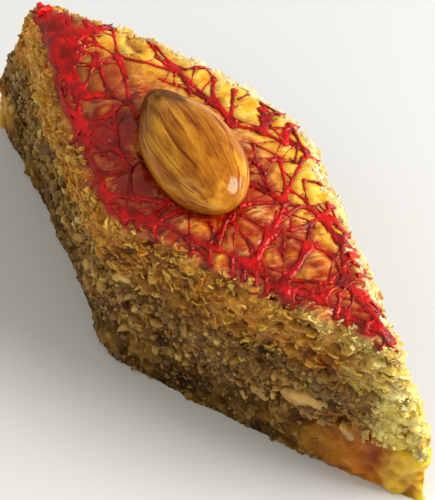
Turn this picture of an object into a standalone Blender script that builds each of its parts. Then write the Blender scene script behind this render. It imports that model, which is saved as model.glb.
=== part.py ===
"""A diamond-shaped piece of baklava: a soaked pastry base, a chopped nut filling, a flaky
pastry top with a net of drizzled strands, and one whole almond pressed into the top.

+X points along the long diagonal to the sharper cut tip, +Z is up, and the origin is on
the resting face, in the middle of the piece.
"""

import math
import random

import bmesh
import bpy
import numpy as np
from mathutils import Matrix, Vector, noise

MM = 0.001
TABLE_STEPS = 240

# Plan of the piece: the +X tip, the +Y corner, the -X tip and the -Y corner, at the
# resting face and at the top face, in mm. The knife left no two sides alike.
BASE_CORNERS = ((50.0, -0.6), (0.0, 18.4), (-50.4, -0.8), (-0.2, -18.2))
TOP_CORNERS = ((42.2, -0.8), (1.2, 18.8), (-45.0, 3.4), (-2.6, -16.4))
BASE_BOWS = (0.6, 1.6, -1.2, 1.0)  # how far each side bulges, from the +X tip round
TOP_BOWS = (0.0, 3.0, 1.2, 0.7)
BASE_ROUNDING = 0.05  # share of a side over which a corner is rounded
TOP_ROUNDING = 0.10
LEAN_POWER = 1.8  # above 1 the sides stand upright below and lean in towards the top

# Heights of the three layers, and how much their joints wander at the cut sides.
BASE_TOP = 7.6 * MM
BASE_RISE = 1.8 * MM  # how much thicker the base is at the +X tip
FILLING_TOP = 17.8 * MM
PIECE_HEIGHT = 25.6 * MM
CROWN = 2.2 * MM
TOP_RISE = 2.4 * MM  # how much taller the piece is at the -X tip
JOINT_WAVE = 0.9 * MM
JOINT_GRAIN = 90.0  # waves in a metre
JOINT_SLICE = 700.0  # sets the waves of one joint apart from the other's
WAVE_ROOM = 0.6  # share of the wave that a crumb on the side keeps clear of
LAYER_GAP = 0.3 * MM
FLAT_SHARE = 0.86  # inside this share of the plan the hidden joints are smooth

# The top face's puffs, and how far it drops at its rim.
PUFF_HEIGHT = 0.55 * MM
PUFF_GRAIN = 170.0
PUFF_SLICE = 3.7
RIM_DROP = 0.5 * MM
RIM_DROP_START = 0.9

# How the cut sides stand out: depth, then waves in a metre, level and upright.
LEDGE_DEPTH = 1.0 * MM
LEDGE_GRAIN = (160.0, 900.0)
LEDGE_SWEEP_DEPTH = 0.6 * MM
LEDGE_SWEEP_GRAIN = (60.0, 120.0)
CRUMB_DEPTH = 0.6 * MM
CRUMB_GRAIN = 330.0
CRUMB_SWEEP_DEPTH = 0.5 * MM
CRUMB_SWEEP_GRAIN = (70.0, 110.0)
FILLING_SET_BACK = 0.5 * MM

# Resolution of a layer: points on one side of the diamond, rows up its side, and rings
# across its top, which take up this share of it.
SIDE_POINTS = 18
PASTRY_ROWS = 6
FILLING_ROWS = 7
TOP_RINGS = 5
TOP_RING_SHARE = 0.93
CORNER_STEPS = 5

# The almond: its size, place and turn about +Z.
ALMOND_LENGTH = 25.0 * MM
ALMOND_WIDTH = 13.2 * MM
ALMOND_THICKNESS = 9.2 * MM
ALMOND_X = -2.2 * MM
ALMOND_Y = -0.6 * MM
ALMOND_TURN = math.radians(-15.5)
ALMOND_SUNK = 2.2 * MM
ALMOND_WRINKLES = 13
WRINKLE_DEPTH = 0.16 * MM
ALMOND_RINGS = 16
ALMOND_BLUNTNESS = 0.14
ALMOND_TAPER = 0.22
ALMOND_TAPER_START = -0.2
ALMOND_GAP = 0.35 * MM
HOLLOW_SPREAD = 1.06

# The drizzled net: the places where its strands cross, in mm, and their thickness.
NET_KNOTS = (
    (-41.0, 3.6), (-36.4, 3.0), (-34.4, 9.0), (-31.3, 5.2), (-25.5, 5.1), (-25.0, 11.2),
    (-27.6, -2.7), (-18.3, 10.1), (-22.2, -7.9), (-17.3, -7.7), (-14.3, 14.5), (-9.6, 10.6),
    (-15.6, -3.6), (-13.2, -9.6), (-8.8, -11.7), (-4.8, -13.5), (2.8, -11.3), (-5.0, 14.4),
    (2.2, 15.4), (7.2, 14.1), (8.5, 9.3), (8.4, -9.5), (13.0, -9.7), (11.4, 4.0),
    (14.2, -2.0), (18.3, -8.8), (17.6, -5.0), (18.3, 7.1), (20.8, 0.8), (22.5, -6.5),
    (25.8, 3.0), (27.2, -1.6), (31.2, -3.9), (33.4, -0.2), (38.5, -0.6),
)
NET_RADIUS = 0.62 * MM
NET_REACH = 14.0 * MM  # knots further apart than this are never joined
NET_SPARE = 1.3 * MM  # the net stops this far outside the almond
NET_SIDES = 4
NET_TAPER = 0.8
NET_THICKNESSES = (0.75, 1.2)
NET_STEPS = 12  # a strand is tried for the almond at this many places
NET_LEAST = 4  # and left out where fewer of them are free
KNOT_CLEARANCE = 0.97
NET_SEED = 11

# Crumbs of nut and flakes of pastry that stand out of the cut sides.
NUT_COUNT = 54
NUT_SIZES = (1.0 * MM, 2.0 * MM)
NUT_LENGTH = 1.15
NUT_WIDTHS = (0.7, 1.0)
NUT_HEIGHTS = (0.6, 0.9)
NUT_SUNK = (0.3, 1.0)  # in mm
NUT_ROOM = 0.9
TOP_FLAKES = 24
BASE_FLAKES = 12
FLAKE_SIDES = 7
FLAKE_LENGTHS = (2.4 * MM, 5.2 * MM)
FLAKE_WIDTHS = (1.6, 2.8)  # in mm
FLAKE_THICKNESS = 0.55 * MM
FLAKE_SUNK = 0.25  # in mm
FLAKE_TIP = 0.12
FLAKE_START = 0.07
FLAKE_ROOM = 1.6
FOOT_ROOM = 0.4 * MM
GOLDEN = (math.sqrt(5.0) - 1.0) / 2.0  # spreads bits evenly along the sides
CRUMB_SEED = 5

# Colour and roughness of each material.
SOAKED_LOOK = ((0.42, 0.19, 0.03), 0.35)
NUT_LOOK = ((0.33, 0.22, 0.08), 0.7)
FLAKY_LOOK = ((0.62, 0.33, 0.08), 0.45)
SKIN_LOOK = ((0.48, 0.19, 0.04), 0.25)


def clear_scene():
    for obj in list(bpy.data.objects):
        bpy.data.objects.remove(obj, do_unlink=True)


def new_collection(name):
    collection = bpy.data.collections.new(name)
    bpy.context.scene.collection.children.link(collection)
    return collection


def material(name, colour, roughness):
    made = bpy.data.materials.new(name)
    made.use_nodes = True
    shader = made.node_tree.nodes["Principled BSDF"]
    shader.inputs["Base Color"].default_value = (*colour, 1.0)
    shader.inputs["Roughness"].default_value = roughness
    shader.inputs["Metallic"].default_value = 0.0
    made.diffuse_color = (*colour, 1.0)
    return made


def add_object(name, bm, collection, look):
    bmesh.ops.triangulate(bm, faces=bm.faces)
    bmesh.ops.recalc_face_normals(bm, faces=bm.faces)
    mesh = bpy.data.meshes.new(name)
    bm.to_mesh(mesh)
    bm.free()
    mesh.materials.append(look)
    obj = bpy.data.objects.new(name, mesh)
    collection.objects.link(obj)
    return obj


def smoothstep(low, high, value):
    t = min(1.0, max(0.0, (value - low) / (high - low)))
    return t * t * (3.0 - 2.0 * t)


def corner_blend(low, high, level):
    """A value of the plan at a height, between its base and its top figure."""
    share = min(1.0, max(0.0, level / PIECE_HEIGHT))
    return low + (high - low) * share**LEAN_POWER


def side_point(turn, level):
    """A place on the unrounded plan, one whole turn being 4, from the +X tip round."""
    side = int(turn) % 4
    share = turn - int(turn)
    ends = []
    for corner in (side, (side + 1) % 4):
        x = corner_blend(BASE_CORNERS[corner][0], TOP_CORNERS[corner][0], level)
        y = corner_blend(BASE_CORNERS[corner][1], TOP_CORNERS[corner][1], level)
        ends.append(Vector((x * MM, y * MM, level)))
    along = (ends[1] - ends[0]).normalized()
    bow = corner_blend(BASE_BOWS[side], TOP_BOWS[side], level) * MM
    bulge = bow * 4.0 * share * (1.0 - share)
    return ends[0].lerp(ends[1], share) + Vector((along.y, -along.x, 0.0)) * bulge


def outline(turn, level):
    """A place on the cut side, its corners rounded by averaging along the side."""
    reach = corner_blend(BASE_ROUNDING, TOP_ROUNDING, level)
    total = Vector((0.0, 0.0, 0.0))
    for k in range(-CORNER_STEPS, CORNER_STEPS + 1):
        total += side_point((turn + reach * k / CORNER_STEPS) % 4.0, level)
    return total / (2 * CORNER_STEPS + 1)


def plan_table(level):
    """Directions round the middle, and how far the cut side is in each of them."""
    spots = [outline(4.0 * k / TABLE_STEPS, level) for k in range(TABLE_STEPS)]
    rows = sorted((math.atan2(spot.y, spot.x), math.hypot(spot.x, spot.y)) for spot in spots)
    return np.array(rows).T


def plan_share(x, y, table):
    """0 at the middle of the piece and 1 on its cut side."""
    edge = np.interp(math.atan2(y, x), table[0], table[1], period=2.0 * math.pi)
    return math.hypot(x, y) / float(edge)


def joint_height(level, x, y, share):
    """The joint between two layers: smooth inside, wandering near the cut sides."""
    wave = noise.noise(Vector((x * JOINT_GRAIN, y * JOINT_GRAIN, level * JOINT_SLICE)))
    ramp = max(0.0, share - FLAT_SHARE) / (1.0 - FLAT_SHARE)
    rise = BASE_RISE * max(0.0, x / (BASE_CORNERS[0][0] * MM)) if level == BASE_TOP else 0.0
    return level + rise + JOINT_WAVE * wave * min(1.0, ramp)


def almond_underside(x, y):
    """Height of the pressed hollow under the almond, or None outside it."""
    dx, dy = x - ALMOND_X, y - ALMOND_Y
    along = dx * math.cos(ALMOND_TURN) + dy * math.sin(ALMOND_TURN)
    across = -dx * math.sin(ALMOND_TURN) + dy * math.cos(ALMOND_TURN)
    half_length = ALMOND_LENGTH / 2 * HOLLOW_SPREAD
    half_width = ALMOND_WIDTH / 2 * HOLLOW_SPREAD
    reach = (along / half_length) ** 2 + (across / half_width) ** 2
    if reach >= 1.0:
        return None
    drop = ALMOND_THICKNESS / 2 * math.sqrt(1.0 - reach)
    return ALMOND_HEIGHT - drop - ALMOND_GAP - WRINKLE_DEPTH


TOP_TABLE = plan_table(PIECE_HEIGHT)
ALMOND_HEIGHT = PIECE_HEIGHT + CROWN + ALMOND_THICKNESS / 2 - ALMOND_SUNK


def bare_top(x, y):
    """The top face before the almond is pressed in: crowned, puffy, lower at its rim."""
    share = plan_share(x, y, TOP_TABLE)
    rise = TOP_RISE * max(0.0, x / (TOP_CORNERS[2][0] * MM))
    crowned = PIECE_HEIGHT + rise + CROWN * (1.0 - min(1.0, share) ** 2)
    puffs = noise.noise(Vector((x * PUFF_GRAIN, y * PUFF_GRAIN, PUFF_SLICE)))
    return crowned + PUFF_HEIGHT * puffs - RIM_DROP * smoothstep(RIM_DROP_START, 1.0, share)


def top_height(x, y):
    """The crowned top face, pressed down where the almond sits."""
    height = bare_top(x, y)
    hollow = almond_underside(x, y)
    return height if hollow is None else min(height, hollow)


def waves(point, grain):
    """Smooth noise at a place, with its waves in a metre given level and upright."""
    level, upright = grain
    return noise.noise(Vector((point.x * level, point.y * level, point.z * upright)))


def laminated(point):
    """How far a flaky cut side stands out: thin ledges that come and go along it."""
    ledge = waves(point, LEDGE_GRAIN)
    return LEDGE_DEPTH * ledge + LEDGE_SWEEP_DEPTH * waves(point, LEDGE_SWEEP_GRAIN)


def crumbly(point):
    """How far the cut side of the filling stands out: rough in every direction."""
    rough = noise.noise(point * CRUMB_GRAIN)
    sweep = waves(point, CRUMB_SWEEP_GRAIN)
    return CRUMB_DEPTH * rough + CRUMB_SWEEP_DEPTH * sweep - FILLING_SET_BACK


def drum(rows, top_rings):
    """A round drum with its side cut into rows and a ring inset in each flat end."""
    bm = bmesh.new()
    bmesh.ops.create_cone(
        bm, cap_ends=True, segments=4 * SIDE_POINTS, radius1=1.0, radius2=1.0, depth=1.0
    )
    upright = [e for e in bm.edges if abs(e.verts[0].co.z - e.verts[1].co.z) > 0.5]
    bmesh.ops.subdivide_edges(bm, edges=upright, cuts=rows - 1)
    inset_by = (1.0 - FLAT_SHARE) * math.cos(math.pi / (4 * SIDE_POINTS))
    for end in (-0.5, 0.5):
        cap = [f for f in bm.faces if all(abs(v.co.z - end) < 1e-6 for v in f.verts)]
        rings = top_rings if end > 0 else 1
        step = TOP_RING_SHARE / rings if rings > 1 else inset_by
        for _ in range(rings):
            bmesh.ops.inset_region(bm, faces=cap, thickness=step, use_even_offset=True)
    return bm


def layer(name, low, high, rows, rough, top_rings, collection, look):
    """One layer of the piece: a drum whose points are moved out to the diamond."""
    bm = drum(rows, top_rings)
    for vertex in bm.verts:
        turn = math.atan2(vertex.co.y, vertex.co.x) / (math.pi / 2) % 4.0
        reach = min(1.0, math.hypot(vertex.co.x, vertex.co.y))
        share = vertex.co.z + 0.5
        level = low + (high - low) * share
        side = outline(turn, level)
        if reach > 0.999:
            side += Vector((side.x, side.y, 0.0)).normalized() * rough(side)
        x, y = side.x * reach, side.y * reach
        bottom = 0.0 if low == 0.0 else joint_height(low, x, y, reach) + LAYER_GAP / 2
        if high == PIECE_HEIGHT:
            top = top_height(x, y)
        else:
            top = joint_height(high, x, y, reach) - LAYER_GAP / 2
        vertex.co = (x, y, bottom + (top - bottom) * share)
    return add_object(name, bm, collection, look)


def almond_radius(along):
    """Share of the half width at a place along the almond, -1 being its pointed tip."""
    blunt = math.sqrt(max(0.0, 1.0 - along * along))
    taper = 1.0 - ALMOND_TAPER * smoothstep(ALMOND_TAPER_START, -1.0, along)
    return blunt * (1.0 + ALMOND_BLUNTNESS * along) * taper


def make_almond(collection, look):
    """A ball drawn out to a point at one end and wrinkled along its length."""
    bm = bmesh.new()
    bmesh.ops.create_uvsphere(
        bm, u_segments=2 * ALMOND_WRINKLES, v_segments=ALMOND_RINGS, radius=1.0
    )
    for vertex in bm.verts:
        along, turn = vertex.co.z, math.atan2(vertex.co.y, vertex.co.x)
        width = almond_radius(along)
        wrinkle = math.cos(ALMOND_WRINKLES * turn) * (1.0 - along**4)
        ball = math.hypot(vertex.co.x, vertex.co.y)
        scale = width if ball > 1e-6 else 0.0
        across = math.cos(turn) * scale * (ALMOND_WIDTH / 2 + WRINKLE_DEPTH * wrinkle)
        up = math.sin(turn) * scale * (ALMOND_THICKNESS / 2 + WRINKLE_DEPTH * wrinkle)
        vertex.co = (along * ALMOND_LENGTH / 2, across, up)
    place = Matrix.Translation((ALMOND_X, ALMOND_Y, ALMOND_HEIGHT))
    bmesh.ops.transform(bm, matrix=place @ Matrix.Rotation(ALMOND_TURN, 4, "Z"), verts=bm.verts)
    almond = add_object("almond", bm, collection, look)
    almond.data.shade_smooth()
    return almond


def net_strands():
    """Pairs of knots to join: near ones with no third knot in the ring between them."""
    knots = [Vector((x * MM, y * MM)) for x, y in NET_KNOTS]
    strands = []
    for i, start in enumerate(knots):
        for j in range(i):
            end = knots[j]
            middle, half = (start + end) / 2, (start - end).length / 2
            others = (knots[k] for k in range(len(knots)) if k not in (i, j))
            alone = all((other - middle).length > half * KNOT_CLEARANCE for other in others)
            if alone and 2.0 * half < NET_REACH:
                strands.append((start, end))
    return strands


def under_almond(x, y):
    dx, dy = x - ALMOND_X, y - ALMOND_Y
    along = dx * math.cos(ALMOND_TURN) + dy * math.sin(ALMOND_TURN)
    across = -dx * math.sin(ALMOND_TURN) + dy * math.cos(ALMOND_TURN)
    far = along / (ALMOND_LENGTH / 2 + NET_SPARE)
    wide = across / (ALMOND_WIDTH / 2 + NET_SPARE)
    return far**2 + wide**2 < 1.0


def clear_of_almond(start, end):
    """The stretch of a strand outside the almond, or None where little is left."""
    spots = [start.lerp(end, k / NET_STEPS) for k in range(NET_STEPS + 1)]
    free = [spot for spot in spots if not under_almond(spot.x, spot.y)]
    broken = under_almond(*((start + end) / 2)) and len(free) > NET_STEPS // 2
    if len(free) < NET_LEAST or broken:
        return None
    return free[0], free[-1]


def add_strand(start, end, radius, collection, look):
    """A strand as a rod that is half sunk in the top face."""
    low = Vector((start.x, start.y, top_height(start.x, start.y)))
    high = Vector((end.x, end.y, top_height(end.x, end.y)))
    span = high - low
    bm = bmesh.new()
    bmesh.ops.create_cone(
        bm, cap_ends=True, segments=NET_SIDES, radius1=radius, radius2=radius * NET_TAPER,
        depth=span.length + radius,
    )
    turn = span.to_track_quat("Z", "Y").to_matrix().to_4x4()
    bmesh.ops.transform(bm, matrix=Matrix.Translation((low + high) / 2) @ turn, verts=bm.verts)
    return add_object("strand", bm, collection, look)


def fill_net(collection, look):
    draw = random.Random(NET_SEED)
    for start, end in net_strands():
        free = clear_of_almond(start, end)
        radius = NET_RADIUS * draw.uniform(*NET_THICKNESSES)
        if free is not None:
            add_strand(*free, radius, collection, look)


def side_spot(share, level):
    """A place on a cut side, the level direction out of it and the one along it."""
    spot = outline(4.0 * share, level)
    along = (outline((4.0 * share + 0.02) % 4.0, level) - spot).normalized()
    return spot, Vector((along.y, -along.x, 0.0)), along


def fill_nuts(collection, look):
    """Chopped nuts on the cut sides of the filling, spread by the golden section."""
    draw = random.Random(CRUMB_SEED)
    for index in range(NUT_COUNT):
        size = NUT_SIZES[0] + (NUT_SIZES[1] - NUT_SIZES[0]) * draw.random() ** 2
        room = LAYER_GAP + JOINT_WAVE * WAVE_ROOM + size * NUT_ROOM
        turn = (index * GOLDEN) % 1.0
        rise = BASE_RISE * max(0.0, math.cos(2.0 * math.pi * turn))
        level = draw.uniform(BASE_TOP + rise + room, FILLING_TOP - room)
        spot, out, _ = side_spot(turn, level)
        bm = bmesh.new()
        bmesh.ops.create_icosphere(bm, subdivisions=1, radius=size)
        stretch = Matrix.Diagonal(
            (NUT_LENGTH, draw.uniform(*NUT_WIDTHS), draw.uniform(*NUT_HEIGHTS), 1.0)
        )
        turn = Matrix.Rotation(draw.uniform(0.0, math.pi), 4, "Z")
        place = Matrix.Translation(spot - out * draw.uniform(*NUT_SUNK) * MM)
        bmesh.ops.transform(bm, matrix=place @ turn @ stretch, verts=bm.verts)
        add_object("nut", bm, collection, look)


def fill_flakes(low, high, count, seed, collection, look):
    """Broken leaves of pastry: short thin plates along a cut side."""
    draw = random.Random(seed)
    room = LAYER_GAP + JOINT_WAVE * WAVE_ROOM + FLAKE_THICKNESS * FLAKE_ROOM
    for index in range(count):
        level = draw.uniform(low + room, high - room)
        spot, out, along = side_spot((FLAKE_START + index * GOLDEN) % 1.0, level)
        length = draw.uniform(*FLAKE_LENGTHS)
        bm = bmesh.new()
        bmesh.ops.create_cone(
            bm, cap_ends=True, segments=FLAKE_SIDES, radius1=0.5, radius2=0.4, depth=1.0
        )
        size = Matrix.Diagonal((length, draw.uniform(*FLAKE_WIDTHS) * MM, FLAKE_THICKNESS, 1.0))
        frame = Matrix((along, out, Vector((0.0, 0.0, 1.0)))).transposed().to_4x4()
        tip = Matrix.Rotation(draw.uniform(-FLAKE_TIP, FLAKE_TIP), 4, "X")
        place = Matrix.Translation(spot - out * FLAKE_SUNK * MM)
        bmesh.ops.transform(bm, matrix=place @ frame @ tip @ size, verts=bm.verts)
        add_object("flake", bm, collection, look)


def fuse(obj, pieces):
    """Joins a collection of pieces to the object for good, and removes the pieces."""
    union = obj.modifiers.new("join", "BOOLEAN")
    union.operation = "UNION"
    union.operand_type = "COLLECTION"
    union.collection = pieces
    union.solver = "MANIFOLD"
    bpy.context.view_layer.objects.active = obj
    with bpy.context.temp_override(object=obj, active_object=obj, selected_objects=[obj]):
        bpy.ops.object.modifier_apply(modifier=union.name)
    for piece in list(pieces.objects):
        bpy.data.objects.remove(piece, do_unlink=True)
    bpy.data.collections.remove(pieces)
    drop_scraps(obj)


def islands(bm):
    """The separate closed shells of a mesh, as lists of faces."""
    left = set(bm.faces)
    found = []
    while left:
        stack = [left.pop()]
        shell = []
        while stack:
            face = stack.pop()
            shell.append(face)
            for edge in face.edges:
                for other in edge.link_faces:
                    if other in left:
                        left.remove(other)
                        stack.append(other)
        found.append(shell)
    return found


def drop_scraps(obj):
    """Keeps the largest shell: fills sealed hollows and drops loose scraps."""
    bm = bmesh.new()
    bm.from_mesh(obj.data)
    shells = sorted(islands(bm), key=len)
    for shell in shells[:-1]:
        bmesh.ops.delete(bm, geom=shell, context="FACES")
    bmesh.ops.triangulate(bm, faces=bm.faces)
    bm.to_mesh(obj.data)
    bm.free()


def centre_plan(objects):
    """Moves the whole piece level so that the origin is in the middle of its plan."""
    spots = [vertex.co for obj in objects for vertex in obj.data.vertices]
    middle = [(min(s[k] for s in spots) + max(s[k] for s in spots)) / 2 for k in (0, 1)]
    for obj in objects:
        obj.data.transform(Matrix.Translation((-middle[0], -middle[1], 0.0)))


def main():
    clear_scene()
    piece = new_collection("baklava_piece")
    soaked = material("soaked_pastry", *SOAKED_LOOK)
    nuts = material("nut_paste", *NUT_LOOK)
    flaky = material("flaky_pastry", *FLAKY_LOOK)
    skin = material("almond_skin", *SKIN_LOOK)

    base = layer("pastry_base", 0.0, BASE_TOP, PASTRY_ROWS, laminated, 1, piece, soaked)
    filling = layer(
        "nut_filling", BASE_TOP, FILLING_TOP, FILLING_ROWS, crumbly, 1, piece, nuts
    )
    top = layer(
        "pastry_top", FILLING_TOP, PIECE_HEIGHT, PASTRY_ROWS, laminated, TOP_RINGS, piece, flaky
    )
    almond = make_almond(piece, skin)

    flakes = new_collection("base_flakes")
    fill_flakes(FOOT_ROOM, BASE_TOP, BASE_FLAKES, CRUMB_SEED + 1, flakes, soaked)
    fuse(base, flakes)
    crumbs = new_collection("filling_nuts")
    fill_nuts(crumbs, nuts)
    fuse(filling, crumbs)
    trimmings = new_collection("top_net_and_flakes")
    fill_flakes(FILLING_TOP, PIECE_HEIGHT, TOP_FLAKES, CRUMB_SEED + 2, trimmings, flaky)
    fill_net(trimmings, flaky)
    fuse(top, trimmings)
    centre_plan((base, filling, top, almond))


main()
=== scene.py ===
import math
import random

import bmesh
import bpy
import numpy as np
from mathutils import Matrix, Quaternion, Vector, noise


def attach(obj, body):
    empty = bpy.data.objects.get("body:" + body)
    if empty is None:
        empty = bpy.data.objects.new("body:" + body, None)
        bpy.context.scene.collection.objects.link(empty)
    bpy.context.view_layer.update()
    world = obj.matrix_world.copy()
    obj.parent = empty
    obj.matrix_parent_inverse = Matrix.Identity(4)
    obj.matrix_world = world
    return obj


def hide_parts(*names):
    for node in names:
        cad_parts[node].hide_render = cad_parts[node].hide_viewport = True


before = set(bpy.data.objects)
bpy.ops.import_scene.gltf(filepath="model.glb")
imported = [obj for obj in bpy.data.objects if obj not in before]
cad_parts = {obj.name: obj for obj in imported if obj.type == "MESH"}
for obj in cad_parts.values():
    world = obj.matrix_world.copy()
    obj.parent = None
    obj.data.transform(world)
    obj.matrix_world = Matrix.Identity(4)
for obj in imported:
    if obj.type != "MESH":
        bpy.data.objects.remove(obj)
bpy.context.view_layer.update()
MM = 0.001

# Soaked pastry base
# The bottom layer is many thin leaves of dough baked into one sheet and soaked in syrup.
# Crumbs stick to most of its cut sides; at the two sharp tips it stays clear and glassy.

# How the source places the piece: its plan was moved this far to centre it, in mm.
CENTRING = (0.23, -0.60)
# Plan corners from the +X tip round by +Y, at the resting face and at the top, in mm.
FOOT_CORNERS = ((50.0, -0.6), (0.0, 18.4), (-50.4, -0.8), (-0.2, -18.2))
RIM_CORNERS = ((42.2, -0.8), (1.2, 18.8), (-45.0, 3.4), (-2.6, -16.4))
FOOT_BOWS = (0.6, 1.6, -1.2, 1.0)
RIM_BOWS = (0.0, 3.0, 1.2, 0.7)
FOOT_ROUNDING = 0.05
RIM_ROUNDING = 0.10
LEAN_POWER = 1.8
BASE_TOP = 7.6 * MM
BASE_RISE = 1.8 * MM
FILLING_TOP = 17.8 * MM
PIECE_HEIGHT = 25.6 * MM
CROWN = 2.2 * MM
TOP_RISE = 2.4 * MM
JOINT_WAVE = 0.9 * MM
OUTLINE_STEPS = 720


def between(low, high, level):
    share = np.clip(level / PIECE_HEIGHT, 0.0, 1.0) ** LEAN_POWER
    return low + (high - low) * share


def plan_ring(level):
    """The cut side's plan at one height, as (x, y) rows in metres, corners rounded."""
    turns = np.arange(OUTLINE_STEPS) * 4.0 / OUTLINE_STEPS
    side = turns.astype(int)
    share = (turns - side)[:, None]
    corners = between(np.array(FOOT_CORNERS), np.array(RIM_CORNERS), level)
    bows = between(np.array(FOOT_BOWS), np.array(RIM_BOWS), level)
    start, end = corners[side], corners[(side + 1) % 4]
    along = (end - start) / np.linalg.norm(end - start, axis=1)[:, None]
    out = np.stack([along[:, 1], -along[:, 0]], 1)
    ring = start + (end - start) * share + out * bows[side][:, None] * 4 * share * (1 - share)
    reach = int(between(FOOT_ROUNDING, RIM_ROUNDING, level) * OUTLINE_STEPS / 4)
    rounded = sum(np.roll(ring, k, axis=0) for k in range(-reach, reach + 1)) / (2 * reach + 1)
    return (rounded + np.array(CENTRING)) * MM


# The plan at every height, looked up by height and turn.
LEVELS = np.linspace(0.0, PIECE_HEIGHT, 27)
RINGS = np.stack([plan_ring(level) for level in LEVELS])


def outline(turn, level):
    """Places on the cut side for arrays of turns (a whole turn is 4) and heights."""
    row = np.clip(np.asarray(level) / PIECE_HEIGHT, 0.0, 1.0) * (len(LEVELS) - 1)
    low = np.minimum(row.astype(int), len(LEVELS) - 2)
    step = (np.asarray(turn) % 4.0) * OUTLINE_STEPS / 4
    first = step.astype(int) % OUTLINE_STEPS
    second = (first + 1) % OUTLINE_STEPS
    part = (step - step.astype(int))[..., None]
    up = (row - low)[..., None]
    lower = RINGS[low, first] * (1 - part) + RINGS[low, second] * part
    upper = RINGS[low + 1, first] * (1 - part) + RINGS[low + 1, second] * part
    return lower * (1 - up) + upper * up


def rim_share(x, y):
    """0 in the middle of the top face and 1 on its cut edge."""
    ring = RINGS[-1] - np.array(CENTRING) * MM
    angles = np.arctan2(ring[:, 1], ring[:, 0])
    order = np.argsort(angles)
    across = np.stack([x, y], -1) - np.array(CENTRING) * MM
    reach = np.hypot(ring[order, 0], ring[order, 1])
    edge = np.interp(np.arctan2(across[..., 1], across[..., 0]), angles[order], reach, period=2 * math.pi)
    return np.hypot(across[..., 0], across[..., 1]) / edge


def noise_at(spots):
    return np.array([noise.noise(spot) for spot in spots.tolist()])


def grain(points, per_metre, seed=0.0):
    """Smooth noise from -1 to 1 at each point; per_metre is one number or one per axis."""
    return noise_at(points * np.array(per_metre) + seed)


def chips(points, per_metre, seed, lean=0.0):
    """Flat bits side by side: each has its own number from 0 to 1, and leans its own way.

    Also gives the distance to the crevice round each bit."""
    spots = points * np.array(per_metre) + seed
    near = [noise.voronoi(spot) for spot in spots.tolist()]
    centres = np.array([found[1][0] for found in near])
    apart = np.array([found[0][1] - found[0][0] for found in near])
    own = np.sin(centres @ np.array([12.9898, 78.233, 37.719])) * 43758.5453 % 1.0
    sway = np.sin(centres @ np.array([[3.1, 9.7, 5.3], [7.9, 2.3, 11.1], [5.7, 6.1, 1.9]]) * 17.0)
    return own + lean * np.sum((spots - centres) * sway, axis=1), apart


def ease(low, high, value):
    t = np.clip((value - low) / (high - low), 0.0, 1.0)
    return t * t * (3.0 - 2.0 * t)


def joint(level, x, y):
    """The wandering joint between two layers."""
    wave = noise_at(np.stack([x * 90.0, y * 90.0, np.full_like(x, level * 700.0)], 1))
    rise = BASE_RISE * np.clip(x / (FOOT_CORNERS[0][0] * MM), 0.0, 1.0) if level == BASE_TOP else 0.0
    return level + rise + JOINT_WAVE * wave * ease(0.8, 1.0, rim_share(x, y))


def deselect_all():
    if bpy.context.object and bpy.context.object.mode != "OBJECT":
        bpy.ops.object.mode_set(mode="OBJECT")
    bpy.ops.object.select_all(action="DESELECT")


def select_only(obj):
    deselect_all()
    obj.select_set(True)
    bpy.context.view_layer.objects.active = obj


def new_object(name, data):
    made = bpy.data.objects.new(name, data)
    bpy.context.scene.collection.objects.link(made)
    return made


def points_of(obj, kind="co"):
    flat = np.empty(len(obj.data.vertices) * 3, np.float32)
    obj.data.vertices.foreach_get(kind, flat)
    return flat.reshape(-1, 3).astype(float)


def skin_of(obj):
    """Its points, and the way its skin faces at each."""
    return points_of(obj), points_of(obj, "normal")


def move_points(obj, points):
    obj.data.vertices.foreach_set("co", np.asarray(points, np.float32).ravel())
    obj.data.update()


def keep_masks(obj, **masks):
    """Stores numbers for each point, which the material reads as attributes."""
    for name, values in masks.items():
        made = obj.data.attributes.new(name, "FLOAT", "POINT")
        made.data.foreach_set("value", np.asarray(values, np.float32))


def apply_modifier(obj, kind, **settings):
    select_only(obj)
    modifier = obj.modifiers.new(kind.lower(), kind)
    for key, value in settings.items():
        setattr(modifier, key, value)
    bpy.ops.object.modifier_apply(modifier=modifier.name)


def select_where(obj, kind, test):
    """In edit mode, selects the edges or faces that pass a test."""
    bpy.ops.mesh.select_all(action="DESELECT")
    bpy.ops.mesh.select_mode(type=kind)
    mesh = bmesh.from_edit_mesh(obj.data)
    for part in (mesh.edges if kind == "EDGE" else mesh.faces):
        part.select_set(test(part))
    bmesh.update_edit_mesh(obj.data)


CAP_RINGS = 14
SIDE_RINGS = 9
LAP = 0.3 * MM


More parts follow.
